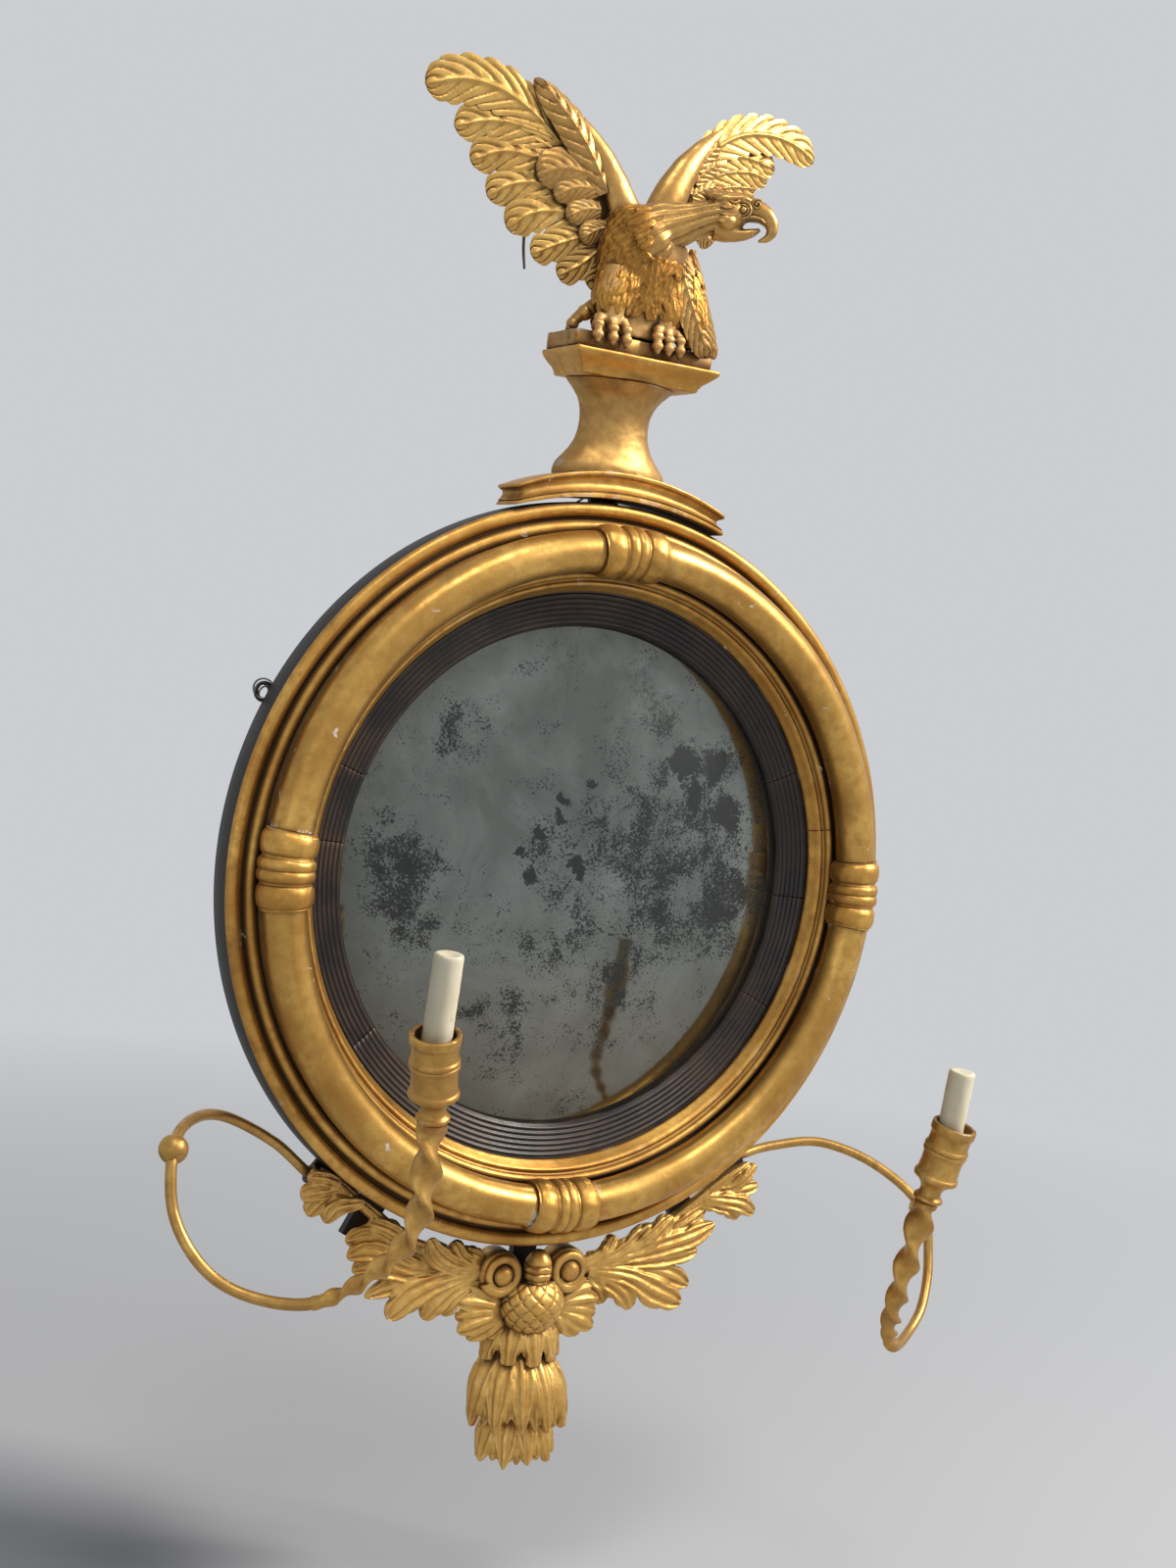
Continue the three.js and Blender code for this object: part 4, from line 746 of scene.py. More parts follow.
def ring_and_mouldings():
    profile = [[228, 0], [286, 0], [288.5, 0.8], [290, 2.5], [290, 12], [290, 21], [289.4, 23.4]]
    profile += bead(290, 278.8, 23.6, 5.3)[1:]
    profile += [[278, 22.6], [277.2, 22.4], [276.6, 23.6]]
    profile += bead(276.3, 266.4, 24.8, 5.2)[1:]
    profile += [[265.6, 25.6], [264.4, 25.9], [262.8, 27.4], [260, 28], [252, 28], [244, 28], [230, 28],
                [228, 27.4]]
    ring = piece("ring", lathe(profile, 320, lump=0.28, seed=2), "frame_ring", GILT, ring=True, sharp=50)
    ring.data.materials.append(BLACK)
    for face in ring.data.polygons:
        x, y, z = face.center / MM
        on_side = -y < PAINTED_DEPTH and math.hypot(x, z) > PAINTED_R
        if on_side or -y < PAINTED_BACK:
            face.material_index = 1
    inner = 239.2
    profile = [[inner, 28.3], [inner - 0.1, 29.2]] + bead(inner - 0.1, inner - 6.9, 29.8, 4.0)[1:]
    profile += [[231.9, 29.2], [231, 28.6], [230.2, 28.8], [229.4, 29.6], [228.4, 29.8], [227.2, 28.9],
                [225.8, 26.6], [224.2, 23.8], [222.8, 22.0], [222.0, 20.6], [222.2, 19.5], [227.4, 19.5],
                [227.4, 28.3]]
    piece("inner_mould", lathe(profile, 300, lump=0.2, seed=5, cracks=(MOULD_CRACK,)), "inner_moulding",
          GILT, ring=True, sharp=50)
    reeds = [[226.5, 8.5], [226.5, 17.2], [221.6, 17.6]]
    edges = np.linspace(221.4, 197.2, REEDS + 1)
    floor = np.interp(edges, (197.2, 221.4), (12.2, 16.6))
    for k in range(REEDS):
        for t in np.linspace(0.1, 0.9, 9):
            r = edges[k] + t * (edges[k + 1] - edges[k])
            base = floor[k] + t * (floor[k + 1] - floor[k])
            reeds.append([r, base + 1.9 * math.sin(math.pi * t) ** 0.8])
    reeds += [[196.6, 11.6], [196, 10.8], [196, 8.5]]
    piece("reeded_slip", lathe(reeds, 300, lump=0.18, seed=7, cracks=SLIP_CRACKS), "slip_ring", EBONY,
          ring=True, slot="ebonised_wood", sharp=60)
    # the glass bulges forward like part of a large ball, and goes on under the slip
    radii = np.r_[0.5, np.linspace(8, 212, 52)]
    bulge = 8.2 + (GLASS_R**2 - radii**2) / (2 * GLASS_BALL_R)
    face = [[r, d] for r, d in zip(radii, bulge)]
    back = [[r, d - GLASS_THICK] for r, d in zip(radii[::-4], bulge[::-4])]
    disc = lathe(face + back + [[0.5, bulge[0] - GLASS_THICK]], 180)
    piece("mirror_glass", np.swapaxes(disc, 0, 1), "mirror_plate", MIRROR, slot="silvered_glass", sharp=50)


HOOP_THICK = 15.9
HOOP_SEAT = 28.05
COLLAR_GAP = 28.05
COLLAR_HALF = 27.7
COLLAR_R = 17.1


def hoops_and_collars():
    margin = math.degrees(COLLAR_GAP / HOOP_R)
    names = ("right_top", "left_top", "left_bottom", "right_bottom")
    turn = around(40)
    for quarter, name in enumerate(names):
        angles = np.radians(np.linspace(90 * quarter + margin, 90 * quarter + 90 - margin, 64))[:, None]
        wander = 0.35 * np.sin(5 * angles + quarter) + 0.2 * np.sin(11 * angles)
        radius = HOOP_THICK + 0.12 * np.sin(9 * angles + 2 * quarter)
        r = HOOP_R + wander * 0.6 + radius * np.cos(turn)[None]
        depth = HOOP_MIDDLE + radius * np.sin(turn)[None]
        y = -(RING_BACK + np.maximum(depth, HOOP_SEAT))
        grid = np.stack([r * np.cos(angles), y, r * np.sin(angles)], axis=-1)
        piece("hoop." + name, grid, "hoop_" + name, SMOOTH_GILT, grain=0.12)
    # radius of the collar along it: two end beads with a fine ridge, and a double bulge in the middle
    along = np.linspace(-1, 1, 121)
    radius = np.full_like(along, COLLAR_R + 0.1)
    for middle, half in ((-0.66, 0.3), (0.66, 0.3), (-0.14, 0.17), (0.14, 0.17)):
        bump = COLLAR_R + 3.9 * np.sqrt(np.maximum(1 - ((along - middle) / half) ** 2, 0)) ** 0.8
        radius = np.maximum(radius, bump)
    for middle in (-0.99, 0.99, -0.335, 0.335):
        rise = np.sqrt(np.maximum(1 - ((along - middle) / 0.045) ** 2, 0))
        radius = np.maximum(radius, COLLAR_R + 1.4 * rise)
    turn = around(72)
    for quarter, name in enumerate(("right", "top", "left", "bottom")):
        angles = math.radians(90 * quarter) + along[:, None] * COLLAR_HALF / HOOP_R
        flutes = 1 + 0.006 * np.sin(13 * turn + 5 * along[:, None])
        r = HOOP_R + radius[:, None] * flutes * np.cos(turn)[None]
        depth = HOOP_MIDDLE + radius[:, None] * flutes * np.sin(turn)[None]
        away = np.abs(r - HOOP_R)
        seat = 28.4 + 5.7 * np.clip((away - 12.6) / 1.5, 0, 1)
        depth = np.maximum(depth, seat)
        grid = np.stack([r * np.cos(angles), -(RING_BACK + depth), r * np.sin(angles)], axis=-1)
        piece("collar." + name, grid, "collar_" + name, GILT, grain=0.3, sharp=60)


BOARD_R = 244.0
SCREW_CIRCLE = 236
# y of each outline of a board and how far it is drawn in there, from the front to the eased back edge
BOARD_STEPS = ((-10.0, 0.6), (-9.4, 0.0), (-1.7, 0.0), (-0.6, 0.5), (-0.3, 1.4))


def plank(low, high):
    """one board of the round back, between two values of x"""
    xs = np.linspace(low, high, 40)
    edge = np.sqrt(np.maximum(BOARD_R**2 - xs**2, 4))
    outline = np.r_[np.stack([xs, edge], 1), np.stack([xs[::-1], -edge[::-1]], 1)]
    middle = outline.mean(axis=0)
    rows = []
    for y, inset in BOARD_STEPS:
        shrunk = outline + inset * unit(middle - outline)
        rows.append(np.stack([shrunk[:, 0], np.full(len(shrunk), y), shrunk[:, 1]], axis=1))
    return np.array(rows)


def back_of_frame():
    for k, (low, high) in enumerate(((-243.9, -92.2), (-91.8, 78.0), (78.4, 243.9))):
        piece(f"back_board.{k + 1}", plank(low, high), "backboard", PINE, slot="pine", sharp=35)
    profile = [[0.3, 0.0], [4.0, 0.0], [4.5, 0.4], [4.3, 1.2], [2.6, 2.9], [2.0, 4.0], [2.0, 19.0],
               [0.4, 22.0]]
    for k in range(4):
        angle = math.radians(45 + 90 * k)
        x, z = SCREW_CIRCLE * math.cos(angle), SCREW_CIRCLE * math.sin(angle)
        head = stood(profile, (x, -0.4, z), (0, -1, 0), 28)
        piece(f"back_screw.{k + 1}", [head, slot_bar(x, z, 0.6 * k)], f"backboard_screw_{k + 1}", IRON,
              slot="old_iron")


def slot_bar(x, z, turn):
    """a thin bar beside the driver slot of a screw's head"""
    c, s = math.cos(turn), math.sin(turn)
    rows = []
    for u in (-2.9, 2.9):
        row = [(u, a, y) for a, y in ((0.5, -0.5), (0.5, -0.12), (2.6, -0.12), (2.6, -0.5))]
        rows.append([(x + c * p - s * q, y, z + s * p + c * q) for p, q, y in row])
    return np.array(rows)


ring_and_mouldings()
hoops_and_collars()
back_of_frame()


# ------------------------------------------------------------------ plinth
BASE_HALF = 94
RING_ARC = (293.0, 293.0)
BASE_TOP_ARC = (222.0, 314.0)
SHAFT_FOOT_ARC = (222.0, 314.4)
SHAFT_FOOT = 314.3
SHAFT_HIGH = 68
SHAFT_COLUMNS = 49
SLAB_FOOT = 382.6
SLAB_HIGH = 18
BLOCK_FOOT = 400.9
BLOCK_HIGH = 13
CORNER_STEPS = 5


def arc_height(x, radius, apex):
    """height of an arch of that radius whose top is at the apex"""
    return apex - radius + np.sqrt(radius**2 - x**2)


def block(levels, foot, high, half, front, corner, back, back_corner):
    """a block with rounded corners; levels are shares of its height and how far it is drawn in there"""
    rows = []
    for t, cut in levels:
        w = half - cut
        outline = rounded([[-w, cut - front, corner], [w, cut - front, corner], [w, -back, back_corner],
                           [-w, -back, back_corner]], CORNER_STEPS)
        outline = dense(outline)
        rows.append(np.c_[outline, np.full(len(outline), foot + high * t)])
    return np.array(rows)


def plinth():
    # share of the height, inset: lower lip, ridge, broad cove, line and upper lip
    levels = [(0, 1.2), (0.02, 0.2), (0.1, 0), (0.17, 0.2), (0.19, 1.4), (0.21, 1.6), (0.24, 0.9),
              (0.27, 0.8), (0.3, 1.8), (0.38, 3.4), (0.48, 4.4), (0.58, 4.4), (0.68, 3.4), (0.74, 2.2),
              (0.77, 1.5), (0.79, 1.9), (0.81, 1.8), (0.83, 0.6), (0.88, 0), (0.95, 0), (0.985, 0.4),
              (1, 1.4)]
    rows = []
    side = np.array([-1.0, -0.985, -0.96, *np.linspace(-0.92, 0.92, 47), 0.96, 0.985, 1.0])
    ends = np.array([3.0, 1.0, 0.25, *np.zeros(47), 0.25, 1.0, 3.0])
    for t, cut in levels:
        x = (BASE_HALF - cut) * side
        z = arc_height(x, *RING_ARC) * (1 - t) + arc_height(x, *BASE_TOP_ARC) * t
        front = np.stack([x, -43 + cut + ends, z], axis=1)
        back = np.stack([x[::-1], np.full(len(x), -10.0), z[::-1]], axis=1)
        rows.append(np.r_[front, back])
    cap = []
    for row in (rows[0], rows[-1]):
        half = len(row) // 2
        middle = 0.5 * (row + row[::-1])
        middle[half:] = middle[:half][::-1]
        cap.append(middle)
    rows = [cap[0], *rows, cap[1]]
    piece("base_moulding", np.array(rows), "plinth_base", GILT, grain=0.35, sharp=50, weld=True)

    # half width and depth of the shaft up its height
    stations = [(-0.14, 50, 27), (0.0, 49.5, 27), (0.06, 47.6, 26.6), (0.13, 43.2, 25.2),
                (0.22, 37.4, 23.6), (0.32, 33.2, 22.4), (0.44, 30.6, 21.8), (0.56, 29.8, 22),
                (0.66, 30.4, 23.2), (0.75, 32.0, 25.2), (0.83, 35.0, 28.2), (0.9, 39.4, 32.4),
                (0.96, 43.8, 36.8), (1.0, 46.0, 39.0)]
    stations = np.array(stations)
    t = np.linspace(-0.14, 1.0, 60)
    width, depth = (np.interp(t, stations[:, 0], stations[:, k]) for k in (1, 2))
    ease = np.array([0.25, 0.5, 0.25])
    for _ in range(5):
        for values in (width, depth):
            values[1:-1] = np.convolve(values, ease, mode="valid")
    angle = np.linspace(0, np.pi, SHAFT_COLUMNS)
    rows = []
    for share, w, d in zip(t, width, depth):
        z = SHAFT_FOOT + SHAFT_HIGH * share
        arc = np.stack([-w * np.cos(angle), -10 - d * np.sin(angle) ** 0.92, np.full(SHAFT_COLUMNS, z)],
                       axis=1)
        arc[:, 2] = np.maximum(arc[:, 2], arc_height(arc[:, 0], *SHAFT_FOOT_ARC))
        rows.append(arc)
    piece("pedestal_shaft", np.array(rows), "plinth_shaft", BROWN_GILT_DARK, grain=0.5)

    levels = [(0, 12.6), (0.03, 12), (0.1, 11.4), (0.16, 11.3), (0.2, 10.6), (0.32, 9.4), (0.5, 5.4),
              (0.64, 2.6), (0.74, 0.9), (0.8, 0.3), (0.86, 0), (0.95, 0), (0.985, 0.5), (1, 1.6)]
    slab = block(levels, SLAB_FOOT, SLAB_HIGH, 64, 58, 1.6, 2, 1.0)
    piece("pedestal_slab", slab, "plinth_slab", GILT, grain=0.4, sharp=45)
    levels = [(0, 1.2), (0.08, 0.2), (0.5, 0), (0.9, 0.1), (0.97, 0.6), (1, 1.5)]
    perch = block(levels, BLOCK_FOOT, BLOCK_HIGH, 62, 48, 3.5, 3, 1.5)
    piece("eagle_base", perch, "eagle_block", BROWN_GILT_DARK, grain=0.8, sharp=45)


def dense(outline):
    """extra points along the four long edges of a closed outline with rounded corners"""
    out = []
    for i, (a, b) in enumerate(zip(outline, np.roll(outline, -1, axis=0))):
        count = 16 if i % CORNER_STEPS == CORNER_STEPS - 1 else 1
        out += [a + (b - a) * k / count for k in range(count)]
    return np.array(out)


BROWN_GILT_DARK = gilding("gilt_worn", light=(0.62, 0.38, 0.12), deep=(0.36, 0.19, 0.06),
                          bole=(0.34, 0.12, 0.04), worn=0.9, gloss=0.35)
plinth()


# ------------------------------------------------------------------ candle arms
ARM_ROUTE = [
    [0, 0, 0], [30.3, -1.2, 16.9], [74.8, -12, 31.3], [111, -44, 28.8], [134.7, -80, 11], [135.7, -95, -29],
    [118.4, -113, -61.2], [90.9, -130, -76.8], [56.5, -155, -75.8], [27.9, -180, -50.8], [11.5, -205, -10.4],
    [14.8, -219.7, 61.2],
]
ARM_ROOT = (196.534, -14.1, -229.3)
ARM_LIFT = {-1: 31, 1: -40}
ARM_WIRE_R = 4
ARM_IN_SOCKET = 20
ARM_BALL_R = 10.2
TWIST_ROWS = 220
TWIST_R = 11.5
TWIST_PITCH = 34
CANDLE_R = 9.95
NOZZLES = {  # foot, axis, then the candle's base, axis and length
    -1: ((-211.702, -234.252, -135.187), (-0.18387, -0.22581, 0.95666),
         (-220.869, -244.475, -97.801), (-0.00737, -0.10497, 0.99445), 74),
    1: ((211.537, -234.252, -206.162), (0.10161, -0.22581, 0.96886),
        (215.775, -243.479, -168.437), (0.02209, -0.10495, 0.99423), 64),
}
SIDE_NAME = {-1: "left", 1: "right"}


def arm_route(side, start, stop, count):
    """points of the arm's smooth line between two of its knots"""
    p = []
    for i, (x, y, z) in enumerate(ARM_ROUTE):
        share = min(1, i / 4)
        p.append((side * (ARM_ROOT[0] + x), ARM_ROOT[1] + y, ARM_ROOT[2] + z + ARM_LIFT[side] * share))
    q = with_ends(np.array(p))
    u = np.linspace(start, stop, count)
    i = np.minimum(u.astype(int), len(p) - 2)
    return between(q[i], q[i + 1], q[i + 2], q[i + 3], (u - i)[:, None])


def candle_arm(side):
    name = SIDE_NAME[side]
    upper = arm_route(side, 0, 3.97, 60)
    ahead = unit(np.array([side * 30.3, -1.2, 16.9]))
    end = upper[0] - ARM_IN_SOCKET * ahead
    upper = np.vstack([end, 0.5 * (end + upper[0]), upper])
    metal = {"body": "arm_" + name, "slot": "gilt_metal"}
    piece("arm.wire_" + name, tube(upper, [ARM_WIRE_R, ARM_WIRE_R], 28, 130), "arm_wire_" + name,
          METAL_GILT, grain=0.12, **metal)
    lower = arm_route(side, 4.05, 8.02, 60)
    piece("arm.loop_" + name, tube(lower, [ARM_WIRE_R, ARM_WIRE_R, ARM_WIRE_R, 4.3], 28, 110),
          "arm_loop_" + name, METAL_GILT, grain=0.12, **metal)
    t = np.linspace(0.02, np.pi - 0.02, 36)
    profile = ARM_BALL_R * np.stack([np.sin(t), -np.cos(t)], axis=1)
    chip = unit(np.array([side * 0.3 + 0.5, -0.75, -0.5]))
    centre = arm_route(side, 4, 4, 1)[0]

    def dent(co, normal):
        return -1.1 * np.clip((np.sum(unit(co - centre) * chip, axis=1) - 0.86) / 0.04, 0, 1)

    piece("arm.ball_" + name, stood(profile, centre, (side * 0.25, -0.3, 0.9), 56), "arm_ball_" + name,
          METAL_GILT, grain=0.2, shape=dent, **metal)

    # two strands twisted together, growing thicker towards the candle
    line = smooth(arm_route(side, 8, 11, 80), TWIST_ROWS)
    across, up = carried(line, FRONT)
    s = np.linspace(0, 1, TWIST_ROWS)[:, None]
    r = 4.9 + 6.6 * np.minimum(1, 1.15 * s) ** 0.8
    r = r * (1 - 0.16 * np.clip((s - 0.93) / 0.07, 0, 1))
    angle = around(56)[None]
    pace = np.cumsum(1 / r[:, 0]) * (line_length(line) / (TWIST_ROWS - 1)) * TWIST_R / TWIST_PITCH
    turn = math.pi * pace[:, None] + 0.6
    lobe = 0.6 * np.clip(9 * s, 0.1, 1) * np.clip((1.0 - s) / 0.04, 0.35, 1)
    reach = r / np.sqrt(np.cos(angle) ** 2 + np.sin(angle) ** 2 / (1 - lobe) ** 1.5)
    reach = reach * (1 + 0.02 * np.sin(7 * s * np.pi))
    a, b = reach * np.cos(angle + turn), reach * np.sin(angle + turn)
    stem = line[:, None] + across[:, None] * a[..., None] + up[:, None] * b[..., None]
    foot, axis, base, candle_axis, top = NOZZLES[side]
    seat = stood([[0.3, -6], [8.9, -5.5], [9.3, -3], [8.8, -1.2], [2.5, -1], [2.5, 11], [0.3, 12]], foot,
                 axis, 40)
    piece("arm.twist_" + name, [stem, seat], "arm_twist_" + name, METAL_GILT_WORN, grain=0.3, sharp=60,
          **metal)

    profile = [[0.3, 13.5], [2.8, 13.5], [2.8, 0], [10.6, 0], [11.3, 0.6], [11.4, 2.2], [10.6, 3.4],
               [9.2, 4.2], [8.6, 5.6], [8.2, 7.6], [8.5, 9.6], [9.6, 11.8], [11.8, 14.2], [14.4, 16.2],
               [16.0, 17.0], [16.9, 17.9], [17.1, 19.3], [16.9, 20.8], [16.2, 21.7], [15.7, 22.2],
               [15.5, 24], [15.35, 31], [15.5, 36.8], [15.8, 37.8], [16.6, 38.2], [16.9, 39.4],
               [16.7, 40.6], [16.2, 41.1], [16.7, 41.7], [16.9, 43.0], [16.6, 44.2], [15.8, 44.8],
               [15.5, 45.8], [15.4, 50], [15.6, 53.8], [16.2, 54.8], [16.9, 55.6], [17.1, 57.0],
               [17.0, 60.4], [16.7, 61.6], [16.0, 62.0], [14.2, 61.9], [13.5, 61.2], [13.5, 37.4],
               [12.8, 37], [0.3, 37]]
    piece("nozzle_cup." + name, stood(profile, foot, axis, 72), "nozzle_" + name, METAL_GILT_WORN,
          body="nozzle_" + name, slot="gilt_metal", grain=0.25, sharp=45)

    profile = [[0.3, 0], [9.2, 0], [9.9, 0.8], *[[CANDLE_R, h] for h in np.linspace(4, top - 4, 14)],
               [9.9, top - 1.8], [9.3, top - 0.5], [8.0, top], [5.5, top - 0.5], [3.0, top - 1.3],
               [0.3, top - 1.6]]

    def uneven(co, normal):
        high = (co - np.array(base)) @ unit(np.array(candle_axis))
        return -0.5 * np.abs(noise(co, 9, 8 + side)) - 0.35 * np.abs(noise(co, 26, 9)) * (high > 5)

    piece("candle_stick." + name, stood(profile, base, candle_axis, 60), "candle_" + name, WAX,
          body="candle_" + name, slot="wax", shape=uneven, sharp=60)


METAL_GILT_WORN = gilding("gilt_composition", light=(0.70, 0.42, 0.115), deep=(0.42, 0.22, 0.055),
                          worn=0.45, chips=0.45, shade_and_soot=0.95)
for side in (-1, 1):
    candle_arm(side)


# ------------------------------------------------------------------ hangers on the ring's back
def ring_tube(centre, radius, wire, normal, sides, turns):
    """a round ring of wire, square to its normal"""
    normal = unit(normal)
    a = unit(np.cross(normal, (0.3, 0.9, 0.2)))
    b = np.cross(normal, a)
    t = around(turns)[:, None, None]
    s = around(sides)[None, :, None]
    out = np.cos(t) * a + np.sin(t) * b
    return centre + (radius + wire * np.cos(s)) * out + wire * np.sin(s) * normal


def hanger(side):
    name = SIDE_NAME[side]
    centre = eye_centre(side)
    outward = unit(centre * [1, 0, 1])
    along = np.array([-outward[2], 0, outward[0]])
    piece("hanger_eye." + name, ring_tube(centre, 6, 1.45, FRONT, 14, 48), "hanger_" + name, IRON,
          ring=True, slot="old_iron", grain=0.1)
    rows = []
    for y, cut in ((-9.7, 0.8), (-9.2, 0.0), (-5.3, 0.0), (-4.75, 0.7)):
        corners = [[-30 + cut, -6 + cut, 2.4], [-10 - cut, -6 + cut, 3.5], [-10 - cut, 6 - cut, 3.5],
                   [-30 + cut, 6 - cut, 2.4]]
        outline = rounded(corners, 6)
        base = np.array([centre[0], 0, centre[2]])
        rows.append(np.array([base + p * outward + q * along + [0, y, 0] for p, q in outline]))
    stem = tube([centre - 7 * outward, centre - 19 * outward], [2.3, 2.7, 3.0], 18, 12)
    piece("hanger_plate." + name, [np.array(rows), stem], "hanger_" + name, IRON, slot="old_iron",
          grain=0.15)
    # the wire's end, wound round its own run and left in a few loose turns about the eye
    start, stop = on_wire(side, 5.6), on_wire(side, WIRE_BOUND)
    axis = unit(stop - start)
    a = unit(np.cross(axis, FRONT))
    b = np.cross(axis, a)
    t = np.linspace(0, 1, 170)[:, None]
    turn = 2 * np.pi * 7.5 * t
    helix = start + (stop - start) * t + 1.5 * (np.cos(turn) * a + np.sin(turn) * b)
    core = tube([start, stop], [WIRE_R, WIRE_R], 10, 4)
    loops = [core, helix_tube(helix, 0.75)]
    piece("wire_binding." + name, loops, "hanger_" + name, WIRE, slot="old_iron")
    turns = [ring_tube(centre + shift[0] * outward + shift[1] * along + [0, shift[2], 0], r, 0.7, tilt, 8,
                       40) for shift, r, tilt in WIRE_TURNS]
    piece("wire_turns." + name, turns, "hanger_" + name, WIRE, ring=True, slot="old_iron")


# loose turns of wire about the eye: place (out, along, y), radius and tilt
WIRE_TURNS = [
    ((1.5, 2.0, -1.2), 6.4, (0.25, -1.0, 0.2)), ((2.2, -1.0, -2.0), 7.2, (-0.3, -1.0, 0.15)),
    ((-0.5, 1.0, -2.6), 5.2, (0.1, -1.0, -0.35)), ((3.0, 1.5, -3.2), 6.6, (0.4, -1.0, -0.1)),
]


def helix_tube(line, radius):
    """a fine tube along points that are close enough already"""
    across, up = carried(line, (0.1, -1, 0.2))
    angle = around(7)[None, :, None]
    return line[:, None] + radius * (across[:, None] * np.cos(angle) + up[:, None] * np.sin(angle))


def grey_wire():
    paint = Paint("grey_wire")
    broad = paint.cloud(150, 5, 0.7)
    paint.gives(Base_Color=paint.mixed(broad, (0.12, 0.11, 0.10), (0.26, 0.25, 0.23)))
    paint.gives(Metallic=0.8)
    paint.gives(Roughness=paint.plus(paint.times(broad, 0.3), 0.3))
    return paint.bumped((broad, 0.3, 0.15))


WIRE = grey_wire()
for side in (-1, 1):
    hanger(side)


# ------------------------------------------------------------------ apron
def at_front(side, x, z, depth):
    return np.array([side * x, -(RING_BACK + depth), z])


# The two old sprays are carved by hand and differ. Each lobe is ([x, z] along its middle, half widths),
# with x away from the middle of the mirror.
SPRAY = {
    1: [
        ([[52, -307], [66, -304], [76, -291]], [5, 9, 8]),
        ([[54, -309], [74, -307], [92, -297], [111, -283]], [5, 9, 12, 10]),
        ([[86, -306], [108, -291], [127, -276]], [6, 11, 9]),
        ([[50, -324], [62, -332], [71, -343]], [5, 9, 8]),
        ([[52, -320], [74, -328], [89, -339], [96, -350]], [5, 9, 11, 9]),
        ([[52, -317], [88, -323], [118, -338], [144, -349]], [5, 9, 14, 12]),
        ([[54, -314], [92, -317], [125, -323], [152, -335]], [5, 8, 12, 10]),
        ([[56, -312], [93, -311], [128, -308], [156, -306]], [5, 8, 12, 10]),
        ([[58, -311], [90, -306], [122, -299], [148, -293], [170, -284]], [5, 8, 11, 12, 9]),
        ([[110, -296], [138, -283], [160, -272]], [6, 10, 8]),
        ([[154, -266], [170, -268], [184, -271], [193, -280]], [5, 7, 9, 7]),
        ([[158, -263], [178, -265], [194, -268], [208, -276]], [5, 8, 9, 8]),
        ([[162, -260], [180, -259], [196, -256], [211, -254]], [5, 8, 9, 8]),
        ([[178, -257], [194, -246], [206, -236]], [5, 7, 5]),
    ],
    -1: [
        ([[43, -303], [52, -298], [62, -294]], [4, 7, 5]),
        ([[47, -307], [64, -300], [73, -287]], [5, 9, 8]),
        ([[48, -309], [72, -304], [88, -294], [94, -283]], [5, 9, 12, 9]),
        ([[43, -320], [57, -327], [68, -335], [75, -343]], [5, 9, 10, 7]),
        ([[46, -316], [68, -322], [84, -333], [92, -345]], [5, 9, 12, 10]),
        ([[47, -313], [74, -314], [104, -324], [124, -342]], [5, 9, 14, 12]),
        ([[47, -311], [80, -309], [110, -314], [143, -325]], [5, 9, 12, 6]),
        ([[84, -307], [104, -309], [123, -304], [141, -300], [156, -303]], [6, 9, 11, 11, 8]),
        ([[88, -304], [106, -303], [127, -294], [146, -288], [162, -292]], [6, 9, 11, 11, 8]),
        ([[92, -301], [110, -296], [130, -284], [147, -278], [163, -281]], [6, 9, 11, 11, 8]),
        ([[110, -287], [130, -274], [146, -268]], [6, 10, 8]),
        ([[152, -252], [165, -252], [176, -254], [183, -264]], [5, 7, 9, 7]),
        ([[168, -246], [186, -248], [196, -259]], [5, 8.5, 8]),
        ([[171, -240], [189, -241], [203, -244]], [5, 8.5, 8]),
        ([[173, -236], [187, -231], [199, -230]], [5, 7, 6]),
    ],
}
STALKS = {
    1: [[36, -316], [52, -311], [72, -303], [95, -296], [122, -286], [150, -267], [174, -249], [200, -233]],
    -1: [[36, -315], [52, -310], [70, -302], [92, -293], [116, -282], [140, -263], [163, -245], [189, -224]],
}


def acanthus(side):
    grids = []
    for k, (points, half) in enumerate(SPRAY[side]):
        last = len(points) - 1
        depth = 9.0 + 1.6 * (k % 3)
        line = [at_front(side, x, z, depth + 5.5 * math.sin(math.pi * j / last) + (2.5 if j == 0 else 0))
                for j, (x, z) in enumerate(points)]
        grids.append(plume(line, half, crown=2.2, thick=5.0, rib=1.25, ribs=3, barb=0.3, barbs=3.4,
                           slant=1.8, notch=0.3, vein=-0.9, curl=3.6, rows=80, columns=33, blunt=0.2))
    line = [at_front(side, x, z, 13.5 + 0.5 * math.sin(k)) for k, (x, z) in enumerate(STALKS[side])]
    grids.append(plume(line, [7.0, 7.0, 6.6, 5.8, 5.4, 4.8, 4.4, 3.0], crown=2.6, thick=7.5, rib=0.8,
                       ribs=3, rows=110, columns=25, blunt=0.1))
    return grids


VOLUTE_X = 30.3


